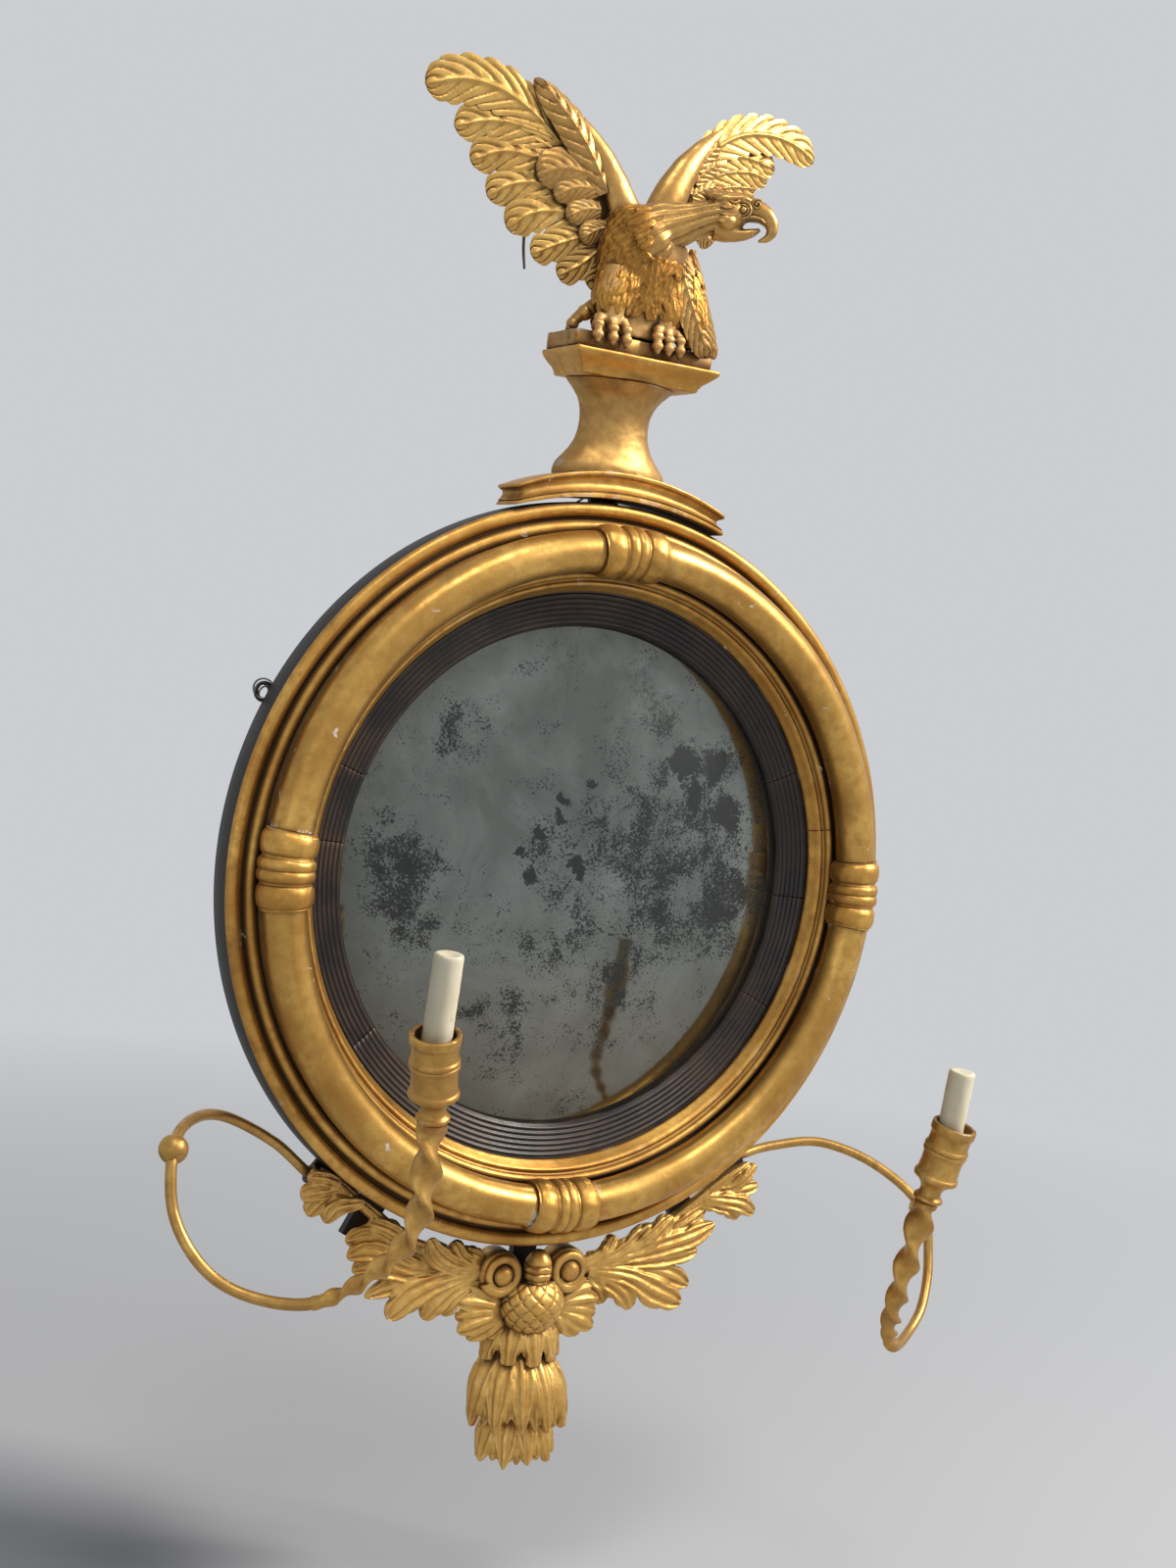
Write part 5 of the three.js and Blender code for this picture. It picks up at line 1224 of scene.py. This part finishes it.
def volute(side):
    """the stalk's end, rolled up round a domed eye"""
    eye = at_front(side, VOLUTE_X, APRON_Z, 0)
    t = np.linspace(0, 1, 140)
    angle = math.pi * (0.12 + 2.7 * t)
    radius = 14.4 - 4.0 * t
    x = eye[0] + side * radius * np.cos(angle)
    z = eye[2] - radius * np.sin(angle)
    y = -(RING_BACK + 19.0 + 2.0 * t)
    line = np.stack([x, y, z], axis=1)
    band = tube(line, [4.9, 4.9, 4.6, 4.0, 3.2, 2.4], 26, 140, up=FRONT)
    drum = stood([[0.3, 0], [17.6, 0], [18.4, 0.8], [18.4, 15], [17.2, 18], [13, 20], [0.3, 20.5]],
                 eye + [0, -0.4, 0], FRONT, 56)
    dome = stood([[0.3, 12], [8.4, 12], [8.7, 20], [8.2, 23], [6.9, 25.4], [4.6, 27.2], [2.2, 28.0],
                  [0.3, 28.2]], eye, FRONT, 40)
    return [band, drum, dome]


BOSS_R = 24.5


def bud_and_boss():
    middle = -(RING_BACK + 0.3) - 0.74 * BOSS_R
    top = APRON_Z - 6
    t = np.linspace(0.02, 1, 44)[:, None]
    angle = around(120)[None]
    r = BOSS_R * np.sin(np.pi * (0.16 + 0.7 * t)) ** 0.7
    # raised diamond scales between crossing grooves
    u, v = 5.5 * angle / np.pi, 3.2 * t
    first, second = (u + v) % 1, (u - v) % 1
    groove = np.minimum(np.minimum(first, 1 - first), np.minimum(second, 1 - second))
    scale = 1.5 * np.clip(groove / 0.16, 0, 1) ** 0.7 - 0.7 * (1 - np.clip(groove / 0.05, 0, 1))
    r = r - 1.4 + scale
    y = middle + 0.8 * r * np.sin(angle)
    boss = np.stack([1.14 * r * np.cos(angle), np.minimum(y, -(RING_BACK + 0.4)), top - 40 * t + 0 * angle],
                    axis=-1)
    s = np.linspace(0.02, 0.98, 70)[:, None]
    a = around(60)[None]
    r = 11.6 * np.sin(np.pi * s) ** 0.45 * (1 + 0.05 * np.cos(6 * a) * (s > 0.42))
    for groove in (0.38, 0.55, 0.76):
        r = r - 1.5 * np.exp(-(((s - groove) / 0.025) ** 2))
    y = middle - 4.5 + r * np.sin(a)
    bud = np.stack([r * np.cos(a), np.minimum(y, -(RING_BACK + 0.4)), APRON_Z + 19.8 - 32 * s + 0 * a],
                   axis=-1)
    piece("apron_pine_cone", [boss, bud], "apron_boss", CARVED_GILT, grain=0.3, sharp=0)


# no husk comes closer to the wall than this
WALL_GAP = 0.8


def husk_ring(name, node, top, length, top_r, end_r, count, lean=(0, 0), layers=2, *, seed, point):
    """hanging leaves round the front of a half bell, the outer ones longest"""
    grids = []
    centre_y = -(RING_BACK + 0.6)
    for layer in range(layers):
        number = count + layer
        for k in range(number):
            turn = math.pi * (k + 0.5 if layer == 0 else k) / count
            turn = min(max(turn, 0.05), math.pi - 0.05)
            rand = noise(np.array([[17.3 * k + 5, 31.7 * layer, 13.1 * seed]]), 9, seed)[0]
            reach = (1.0 if layer == 0 else 0.93) * (0.96 + 0.08 * rand)
            out = 1.0 if layer == 0 else 0.9
            points = []
            for t, spread_to in ((0, 0.0), (0.2, 0.55), (0.45, 0.9), (0.72, 1.03), (0.9, 1.05), (1.0, 1.0)):
                r = (top_r * (1 - spread_to) + end_r * spread_to) * out - 2.0
                shift = lean[0] + (lean[1] - lean[0]) * t
                way = turn + 0.08 * rand * t
                y = centre_y - 0.86 * r * math.sin(way) - 0.5
                points.append((shift - r * math.cos(way), y, top - length * reach * t))
            face = np.array([-math.cos(turn), -0.9 * math.sin(turn), 0.1])
            width = 1.3 * math.pi * end_r / count / 2
            grids.append(plume(points, [0.5 * width, 0.85 * width, 1.0 * width, 0.9 * width, 0.6 * width,
                                        point * width], face=face, crown=4.6, thick=2.6, rib=1.3, ribs=3,
                               barb=0.3, notch=0.3, barbs=2.4, slant=2.6, vein=-0.8, curl=1.6, rows=70,
                               columns=29, blunt=0.1))
    core_t = np.linspace(0, 1, 12)[:, None]
    angle = np.linspace(0, np.pi, 25)[None]
    r = (top_r + (0.66 * end_r - top_r) * np.clip(1.6 * core_t, 0, 1)) - 2.0
    shift = lean[0] + (lean[1] - lean[0]) * core_t
    core = np.stack([shift - r * np.cos(angle), centre_y - 0.8 * r * np.sin(angle),
                     top - 0.8 * length * core_t + 0 * angle], axis=-1)
    for grid in grids:
        grid[..., 1] = np.minimum(grid[..., 1], -WALL_GAP)
    piece(name, [*grids, core], node, CARVED_GILT, grain=0.25, sharp=0, remesh=0.75, relax=1)


# [x, z] of the lobes' tips, x away from the middle
SIDE_LOBES = {
    -1: [[57, -322], [65, -333], [64, -346], [62, -357], [52, -364], [36, -363]],
    1: [[58, -329], [64, -340], [63, -352], [61, -363], [49, -368], [35, -364]],
}


def side_leaf(side):
    grids = []
    for k, (x, z) in enumerate(SIDE_LOBES[side]):
        root = at_front(side, 19, -342 - 1.5 * k, 15)
        tip = at_front(side, x, z, 11.5 + 1.5 * (k % 2))
        middle = 0.5 * (root + tip) + [0, -3.5, 2.5]
        grids.append(plume([root, middle, tip], [5, 8.2, 9.2, 7.6], crown=2.4, thick=5.0, rib=1.0, ribs=2,
                           notch=0.12, barbs=2.0, slant=1.6, barb=0.2, vein=-0.8, curl=2.4, rows=60,
                           columns=29, blunt=0.3))
    piece("apron_side_spray." + SIDE_NAME[side], grids, "side_leaf_" + SIDE_NAME[side], CARVED_GILT,
          grain=0.25, sharp=0, remesh=0.75, relax=1)


for side in (-1, 1):
    piece("acanthus_spray." + SIDE_NAME[side], acanthus(side), "apron_leaf_" + SIDE_NAME[side], CARVED_GILT,
          grain=0.25, sharp=0, remesh=0.8, relax=1)
    piece("volute_scroll." + SIDE_NAME[side], volute(side), "apron_leaf_" + SIDE_NAME[side], CARVED_GILT,
          grain=0.3, sharp=50)
    side_leaf(side)
bud_and_boss()
husk_ring("apron_calyx_leaves", "apron_calyx", APRON_Z - 38, 35, 20, 32, 5, layers=1, seed=3, point=0.6)
husk_ring("pendant_husks_upper", "pendant_upper", APRON_Z - 62, 66, 15, 41, 6, (0, 4), seed=5, point=0.12)
husk_ring("pendant_husks_lower", "pendant_lower", APRON_Z - 110, 45, 11, 31.5, 5, (4, 5), seed=8,
          point=0.15)


# ------------------------------------------------------------------ eagle
def eagle_at(x, y, z):
    return np.array([x, y, EAGLE_FOOT + z])


def eagle_line(*points):
    return [eagle_at(*p) for p in points]


HEAD = eagle_at(44, -72, 0)
AHEAD = np.array([0.87, -0.49, 0.0])
ASIDE = np.array([-0.49, -0.87, 0.0])


def head_at(u, z, v=0.0):
    """u along the way the eagle looks, z over its block, v towards the viewer"""
    return HEAD + AHEAD * u + ASIDE * v + np.array([0, 0, z])


def head_line(*points):
    return [head_at(*p) for p in points]


def egg(stations):
    """a trunk of oval sections; each station is (x, y, z, half width, half depth)"""
    s = np.asarray(stations, float)
    fine = np.stack([spread(s[:, k], 60) for k in range(5)], axis=1)
    a = around(48)[None]
    x = fine[:, :1] + fine[:, 3:4] * np.cos(a)
    y = fine[:, 1:2] + fine[:, 4:5] * np.sin(a)
    return np.stack([x, y, EAGLE_FOOT + fine[:, 2:3] + 0 * a], axis=-1)


def ball(centre, radius, stretch=(1, 1, 1), sides=28):
    t = np.linspace(0.03, np.pi - 0.03, sides // 2)[:, None]
    a = around(sides)[None]
    out = np.stack([np.sin(t) * np.cos(a), np.sin(t) * np.sin(a), np.cos(t) + 0 * a], axis=-1)
    return np.asarray(centre, float) + radius * out * np.asarray(stretch, float)


# where the smooth neck leaves the ruffled breast, along the way the eagle looks
NECK_START = -51
BREAST_TOP = 62
NECK_U = (-75, -58, -40, -20, 0)
NECK_Z = (74, 81, 88, 95, 101)


def neck_locks(co, normal):
    """long carved locks that run down the neck, with fine lines between them"""
    at = co - HEAD
    u, v = at @ AHEAD, at @ ASIDE
    z = at[:, 2] - np.interp(u, NECK_U, NECK_Z)
    turn = np.arctan2(v, z)
    sway = 0.35 * noise(co, 26, 11)
    lock = np.abs(np.sin(5.5 * turn + 0.018 * u + sway * 2.2))
    fine = np.abs(np.sin(15 * turn + 0.03 * u + sway * 5))
    there = np.clip((u + 70) / 14, 0, 1) * np.clip((-2 - u) / 8, 0, 1)
    return there * (1.9 * lock**0.6 - 1.5 + 0.35 * fine - 0.2)


def eagle_body():
    torso = egg([
        (0, -30, 1, 30, 16), (0, -30, 12, 31, 17), (0, -30, 24, 32, 20), (-2, -32, 40, 35, 23),
        (-3, -35, 58, 36, 25.5), (-4, -37, 72, 35, 26.5), (-7, -38, 84, 29, 24), (-11, -39, 93, 22, 19),
        (-12, -39, 99, 12, 12),
    ])
    grids = [torso]
    for side, knee_x in ((-1, -29), (1, 20)):
        thigh = eagle_line((side * 17, -34, 50), (knee_x, -40, 27), (knee_x, -42, 8))
        grids.append(tube(thigh, [18, 16.5, 13, 7.5], 28, 30))
    grids.append(tube(eagle_line((20, -34, 72), (34, -38, 48), (42, -42, 22), (46, -43, 2)),
                      [14, 14, 12, 9], 28, 30))
    # back between the wings
    grids.append(tube(eagle_line((-30, -30, 74), (-6, -24, 80), (20, -28, 76)), [14, 15, 15, 12], 28, 30))
    return piece("eagle_torso", grids, "eagle_body", LEG_GILT, remesh=1.3, relax=6, grain=0.4,
                 shape=lambda co, normal: 0.5 * noise(co, 6, 12), sharp=0)


def eagle_head():
    line = [eagle_at(-16, -42, 68)] + head_line((-50, 84), (-36, 89), (-20, 94.5), (-6, 99), (4, 101))
    neck = tube(line, [22, 24, 20.5, 16, 13.2, 12.6, 11], 40, 60, up=ASIDE)
    skull = ball(head_at(2, 101), 1, (14.2, 13.0, 13.6), 40)
    grids = [neck, skull]
    beak = tube(head_line((8, 105), (18, 106.5), (27, 104.5), (33.5, 99), (35.6, 92),
                 (32.5, 86.4), (26, 83.4)), [10.5, 10, 8.6, 7.2, 5.8, 4.4, 3.0, 1.2], 32, 60, flat=0.8,
                up=ASIDE)
    jaw = tube(head_line((-8, 88.5), (2, 86.6), (12, 86.8), (20, 89.0), (26.4, 92.2)),
               [8.0, 7.0, 5.6, 4.6, 3.5, 1.5], 26, 46, flat=1.25, up=ASIDE)
    grids += [beak, jaw]
    for v in (-7.5, 7.5):
        cheek = ball(head_at(0, 94, v), 1, (8.5, 7.5, 7.0), 24)
        brow = tube(head_line((-19, 115.4, 0.55 * v), (-12, 112.0, 0.9 * v), (0, 110.6, v), (10, 112.2, v),
                              (17, 111.6, 0.8 * v)), [0.8, 3.4, 4.2, 3.6, 3.2, 1.6], 22, 40, up=ASIDE)
        grids += [cheek, brow]
    crown = tube(head_line((-17, 115.6), (-8, 113.4), (4, 113.4), (14, 113.8), (22, 110.8)),
                 [1.0, 4.6, 5.2, 4.8, 4.2, 3.4], 24, 40, up=ASIDE)
    grids.append(crown)
    head = piece("eagle_neck_and_head", grids, "eagle_head", HEAD_GILT, remesh=0.85, relax=3,
                 shape=neck_locks, sharp=0)
    details = []
    for v in (-1, 1):
        side = v * ASIDE
        eye = head_at(11.3, 103.6) + side * 9.6
        details.append(ball(eye, 2.7, sides=26))
        for r, wire in ((3.9, 0.9), (6.1, 0.85)):
            ring = ring_tube(eye - side * 0.6, r, wire, side, 10, 40)
            details.append(np.concatenate([ring, ring[:1]], axis=0))
        nostril = head_at(21.8, 109.2) + side * 6.6
        t = np.linspace(0, 1, 44)
        turn = 2 * np.pi * (1.6 * t) + 0.5
        r = 4.3 * (1 - 0.85 * t)
        spiral = nostril + np.outer(r * np.cos(turn), AHEAD) + np.outer(r * np.sin(turn), UP) + np.outer(
            1.2 * t, side)
        details.append(tube(spiral, [0.5, 1.0, 1.0, 0.9, 0.8], 12, 60, up=side))
        for points in (((-1, 109.5, 11.2), (4, 107.5, 11.8), (7.5, 109.6, 10.8), (5.5, 111.6, 9.8)),
                       ((-7, 104.5, 12.6), (-1, 103, 13.2), (4, 104.6, 12.4), (2.5, 106.8, 12)),
                       ((-6, 98.5, 13.2), (1, 97.6, 13.4), (6, 99.4, 12.2)),
                       ((-8, 93.5, 13.4), (-1, 92.4, 13.6), (5, 94.6, 11.4)),
                       ((14, 98.6, 7.6), (20, 99.6, 6.9), (25.5, 99.2, 5.6), (29.6, 96.6, 4.4))):
            line = [head_at(u, z) + side * w for u, z, w in points]
            details.append(tube(line, [0.4, 1.1, 1.2, 1.0, 0.5], 12, 34, up=side))
    piece("eagle_face_carving", details, "eagle_head", HEAD_GILT, sharp=0)
    return head


def feathered(name, bodies, spots, node, material, **looks):
    """small carved feathers laid on a body's surface; a spot is (from, towards, flow, length, half width)"""
    trees = [BVHTree.FromPolygons([v.co for v in b.data.vertices], [p.vertices[:] for p in b.data.polygons])
             for b in bodies]

    def nearest(point):
        hits = [tree.find_nearest(point * MM) for tree in trees]
        hit = min(hits, key=lambda h: h[3])
        return np.array(hit[0]) / MM, np.array(hit[1])

    grids = []
    for start, towards, flow, length, half in spots:
        hits = [tree.ray_cast(start * MM, unit(towards)) for tree in trees]
        hits = [h for h in hits if h[0] is not None]
        if not hits:
            continue
        hit = min(hits, key=lambda h: h[3])
        at, normal = np.array(hit[0]) / MM, np.array(hit[1])
        if (at - HEAD) @ AHEAD > NECK_START and at[2] > EAGLE_FOOT + BREAST_TOP:
            continue
        line = [at - 0.4 * normal]
        steps = 4
        normals = [normal]
        for k in range(steps):
            tangent = unit(flow - normal * np.dot(flow, normal))
            at, normal = nearest(at + tangent * length / steps)
            line.append(at + normal * (0.2 + 0.9 * (k + 1) / steps))
            normals.append(normal)
        face = unit(np.mean(normals, axis=0))
        sway = 1 + 0.25 * noise(at[None], 8, 5)[0]
        grids.append(plume(line, [0.55 * half, 0.95 * half * sway, half * sway, 0.7 * half], face=face,
                           **looks))
    piece(name, grids, node, material, grain=0.2, sharp=0, remesh=0.7, relax=1)


FEATHERS_IN_ROW = 17


def torso_spots():
    """where feathers grow on the eagle's body, in staggered rows from the neck down"""
    spots = {"breast": [], "flank": []}
    for row, z in enumerate(np.arange(97, 30, -6.0)):
        for k in range(FEATHERS_IN_ROW):
            turn = math.radians(-112 + 224 * (k + 0.5 * (row % 2)) / FEATHERS_IN_ROW)
            out = np.array([math.sin(turn), -math.cos(turn), 0.0])
            centre = eagle_at(-3, -34, z)
            start = centre + out * 90
            high = np.clip((z - 52) / 36, 0, 1)
            jitter = noise(start + 3, 17, 21)
            along = np.array([math.cos(turn), math.sin(turn), 0])
            aside = 0.9 * jitter + 0.25 * math.sin(turn)
            flow = np.array([0, 0, -1.0]) - AHEAD * 1.5 * high + along * aside
            length = 15 + 3 * jitter
            if z > 56:
                key, half = "breast", 5.6
            elif turn > 0.55:
                key, half, length = "flank", 7.5, 23
            else:
                key, half, length = "breast", 5.4, 17
            spots[key].append((start, -out, flow, length, half))
    return spots


# the wings sweep back by this share of their way out, from a plane through the shoulders
WING_SWEEP = 0.13
WING_ROOT_Y = 32


def wing_at(side, x, z, forward=0.0):
    return eagle_at(side * x, WING_SWEEP * x - WING_ROOT_Y - forward, z)


def wing_line(side, points, forward):
    return [wing_at(side, x, z, forward) for x, z in points]


# Each feather is (points of its middle line [x, z], half widths, barbs, forward), x away from the middle.
FEATHERS = {
    -1: [
        ([[30, 58], [35, 45], [42, 34]], [7, 10, 8.5], 3, 0.5),
        ([[36, 66], [53, 50], [69, 39]], [9, 12, 10.5], 4, 1.0),
        ([[42, 76], [72, 62], [92, 51]], [10, 13, 11.5], 5, 1.6),
        ([[50, 88], [84, 84], [101, 77], [113, 66]], [10, 15, 15.5, 12.5], 5, 2.2),
        ([[62, 104], [92, 103], [114, 98], [131, 86]], [11, 15, 15, 12], 6, 2.8),
        ([[70, 120], [100, 121], [124, 120], [147, 109]], [11, 15, 15.5, 12.5], 6, 3.4),
        ([[72, 134], [104, 140], [134, 140], [162, 131]], [11, 15, 16, 13], 7, 4.0),
        ([[82, 136], [104, 152], [130, 163], [158, 165], [187, 156]], [11, 16, 19.5, 19, 15.5], 8, 4.6),
    ],
    1: [
        ([[42, 98], [54, 96], [63, 86]], [7, 10, 8], 4, 0.5),
        ([[44, 106], [62, 111], [80, 108]], [8, 11, 9], 5, 1.0),
        ([[46, 115], [68, 124], [92, 128]], [8, 11, 9], 5, 1.6),
        ([[48, 123], [72, 134], [102, 140]], [8, 12, 10], 6, 2.2),
        ([[46, 130], [66, 143], [92, 150], [114, 149]], [8, 11, 12, 10], 6, 2.8),
        ([[44, 136], [58, 151], [84, 160], [120, 159]], [8, 11, 12.5, 10.5], 6.5, 3.4),
        ([[36, 132], [49, 154], [74, 173], [104, 182], [134, 182], [160, 174]],
         [9, 14, 16, 16, 15, 12], 10, 4.6),
    ],
}
# plain wood behind the feathers, points [x, z] and half widths
WEBS = {
    -1: [([[32, 62], [56, 84], [80, 108], [100, 132], [116, 152]], [14, 27, 30, 28, 16]),
         ([[14, 54], [26, 84], [46, 114], [66, 142]], [12, 18, 19, 12])],
    1: [([[40, 96], [56, 116], [74, 140], [92, 160], [106, 174]], [10, 19, 25, 22, 12])],
}
# smooth forearm: points [x, z, forward, radius]
FOREARM = {
    -1: [[8, 78, 4, 15], [22, 92, 7, 13.5], [32, 110, 7, 11.5], [42, 126, 6.5, 9.5], [56, 143, 6, 7],
         [72, 157, 5, 4.6], [88, 168, 4, 2.5]],
    1: [[2, 76, 2, 14], [8, 98, 5, 15], [18, 120, 6, 14.5], [29, 139, 6, 12], [40, 153, 5, 8.5],
        [52, 166, 4, 5.5], [66, 180, 3, 3]],
}


def wing(side):
    name = SIDE_NAME[side]
    grids = []
    for points, half, barbs, forward in FEATHERS[side]:
        line = [wing_at(side, x, z, forward + 1.5 * math.sin(math.pi * k / (len(points) - 1)))
                for k, (x, z) in enumerate(points)]
        grids.append(plume(line, half, crown=1.0, thick=3.2, barb=1.3 if side < 0 else 0.9, barbs=barbs,
                           slant=1.6, notch=0.26, vein=1.2, rows=120, columns=45, blunt=0.14, curl=-1.0))
    for points, half in WEBS[side]:
        grids.append(plume(wing_line(side, points, -1.0), half, crown=0.5, thick=3.0, barb=0.6,
                           barbs=9, slant=1.5, rows=90, columns=31))
    piece("wing_feathers." + name, grids, "eagle_wing_" + name, WING_GILT, grain=0.25, sharp=60)

    arm = FOREARM[side]
    line = [wing_at(side, x, z, forward) for x, z, forward, _ in arm]
    limb = tube(line, [r for *_, r in arm], 36, 70, flat=0.62)
    covers = []
    if side < 0:
        route = ((42, 104, 7), (56, 126, 8), (72, 146, 8), (90, 163, 7), (105, 177, 5))
        middle = [wing_at(side, *point) for point in route]
        covers.append(plume(middle, [9, 13.5, 14, 11.5, 6], crown=5.0, thick=4, barb=1.5, barbs=8,
                            slant=1.3, notch=0.05, vein=1.2, rows=110, columns=35, blunt=0.14))
        for points, half, lift in (([[58, 116], [78, 116], [97, 107]], [11, 15.5, 14], 7.5),
                                   ([[50, 106], [66, 104], [82, 95]], [8, 11, 10], 7.0),
                                   ([[44, 92], [56, 90], [70, 82]], [7, 10, 9], 6.0),
                                   ([[36, 80], [46, 76], [57, 68]], [6, 9, 8], 5.5)):
            covers.append(plume(wing_line(side, points, lift), half, crown=3.4, thick=3.5, barb=0.8,
                                barbs=5, slant=1.3, vein=0.6, rows=60, columns=27, blunt=0.36))
    else:
        for points, half, lift in (([[34, 118], [46, 126], [60, 131]], [7, 9, 7], 6.0),
                                   ([[36, 128], [46, 140], [58, 148]], [7, 9, 7], 6.4),
                                   ([[38, 138], [46, 152], [58, 164]], [7, 8.5, 6], 6.6)):
            covers.append(plume(wing_line(side, points, lift), half, crown=2.6, thick=3, barb=0.9,
                                barbs=5, slant=1.3, vein=0.6, rows=50, columns=25, blunt=0.3))
    piece("wing_arm." + name, [limb, *covers], "eagle_wing_" + name, HEAD_GILT, grain=0.3, sharp=60)


def tail():
    feathers = [
        ([[16, -50, 70], [27, -52, 44], [40, -53, 18], [53, -52, -3]], [9, 15, 14, 11]),
        ([[34, -40, 76], [41, -44, 50], [48, -47, 24], [60, -48, -2]], [9, 12, 12, 10]),
        ([[42, -32, 76], [48, -37, 52], [56, -42, 24], [64, -46, -3]], [8, 10, 10.5, 9]),
        ([[46, -22, 76], [54, -27, 52], [62, -29, 24], [68, -33, -2]], [8, 10, 10.5, 9]),
        ([[41, -15, 76], [54, -15, 50], [60, -14, 28], [58, -14, 4]], [9, 11, 11.5, 9]),
        ([[22, -11, 70], [34, -10.5, 46], [38, -10, 26], [36, -10, 4]], [9, 11, 11.5, 9]),
        ([[4, -10, 68], [8, -10, 44], [9, -9.5, 24], [8, -9.5, 4]], [9, 11, 11.5, 9]),
        ([[-10, -10, 68], [-15, -10, 44], [-18, -9.5, 24], [-19, -9.5, 4]], [9, 11, 11.5, 9]),
    ]
    faces = [(0.15, -0.98, 0), (0.3, -0.95, 0), (0.45, -0.9, 0), (0.75, -0.65, 0),
             (0.1, -1, 0)] + 3 * [FRONT]
    grids = [plume(eagle_line(*points), half, face=face, crown=2.4, thick=2.6, barb=1.4, barbs=9,
                   slant=1.3, notch=0.09, vein=1.1, rows=100, columns=31, blunt=0.12)
             for (points, half), face in zip(feathers, faces)]
    piece("tail_feathers", grids, "eagle_tail", HEAD_GILT, grain=0.25, sharp=60)


def foot(side, middle, toes):
    """a feathered shank and fat beaded toes that grip the block's front edge"""
    shank = eagle_line((0.8 * middle, -38, 46), (middle, -42, 28), (middle, -43, 15), (middle, -43, 7))
    grids = [tube(shank, [16, 14.5, 11, 9.5], 28, 30)]
    for spread_out in toes:
        x = middle + spread_out
        line = eagle_line((middle + 0.3 * spread_out, -43, 12), (middle + 0.8 * spread_out, -48, 10),
                (x, -52.2, 4.5), (x, -53.4, -3.0))
        path = smooth(line, 4)
        for k, at in enumerate(path):
            grids.append(ball(at, 5.2 - 0.2 * k, (1, 0.95, 0.86), 24))
        grids.append(tube([path[-1] + [0, 0.2, -1], path[-1] + [0, 0.2, -4.5], path[-1] + [0, 1.6, -6.6]],
                          [3.4, 2.6, 1.0], 16, 16))
        grids.append(tube(line, [4.0, 4.0, 3.6, 3.0], 18, 24))
    piece("eagle_claw." + SIDE_NAME[side], grids, "eagle_foot_" + SIDE_NAME[side], LEG_GILT, grain=0.25,
          sharp=0, remesh=0.6, relax=2)


HEAD_GILT = gilding("gilt_head", light=(0.70, 0.42, 0.13), deep=(0.44, 0.24, 0.07), worn=0.6, gloss=0.26)
LEG_GILT = gilding("gilt_legs", light=(0.80, 0.50, 0.20), deep=(0.60, 0.33, 0.11), worn=0.6, chips=0.2,
                   gloss=0.38)
WING_GILT = gilding("gilt_wings", light=(0.78, 0.50, 0.15), deep=(0.54, 0.31, 0.085), chips=0.4, shade_and_soot=0.85)
torso = eagle_body()
head = eagle_head()
spots = torso_spots()
feathered("body_feathers", [torso, head], spots["breast"], "eagle_body", BROWN_GILT, crown=1.2, thick=1.6,
          rib=0.4, ribs=3, notch=0.2, barbs=2.5, slant=1.0, vein=1.0, rows=34, columns=17, blunt=0.4,
          curl=1.4)
feathered("flank_feathers", [torso], spots["flank"], "eagle_body", BROWN_GILT, crown=1.0, thick=1.8,
          barb=0.8, barbs=5, slant=1.2, notch=0.08, vein=1.0, rows=44, columns=21, blunt=0.4)
for side in (-1, 1):
    wing(side)
tail()
foot(-1, -31, (-15, -2, 10))
foot(1, 18, (-11, -1, 9))
piece("hind_claw", [tube(eagle_line((-30, -30, 26), (-42, -24, 17), (-50, -20, 8), (-53, -19, 1.5)),
                         [8, 6.5, 5, 4.2, 2.4], 24, 30), ball(eagle_at(-43, -25, 16), 6.2),
                    ball(eagle_at(-50, -20, 7), 5)], "eagle_foot_left", HEAD_GILT, grain=0.2, sharp=0)
piece("wing_pin", tube([wing_at(-1, 97, 66, -3), wing_at(-1, 96, 54, -3.5), wing_at(-1, 94, 40, -3)],
                       [1.1, 1.1, 0.9], 14, 16), "eagle_wing_left", IRON, slot="old_iron")


# ------------------------------------------------------------------ CAD pieces that keep their shape
def dress(name, material):
    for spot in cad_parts[name].material_slots:
        spot.link = "OBJECT"
        spot.material = material


dress("apron_cleat", BLACK)
for name in ("plinth_strap", "arm_socket_left", "arm_socket_right"):
    dress(name, IRON)
for k in range(4):
    dress(f"glass_block_{k + 1}", PINE)
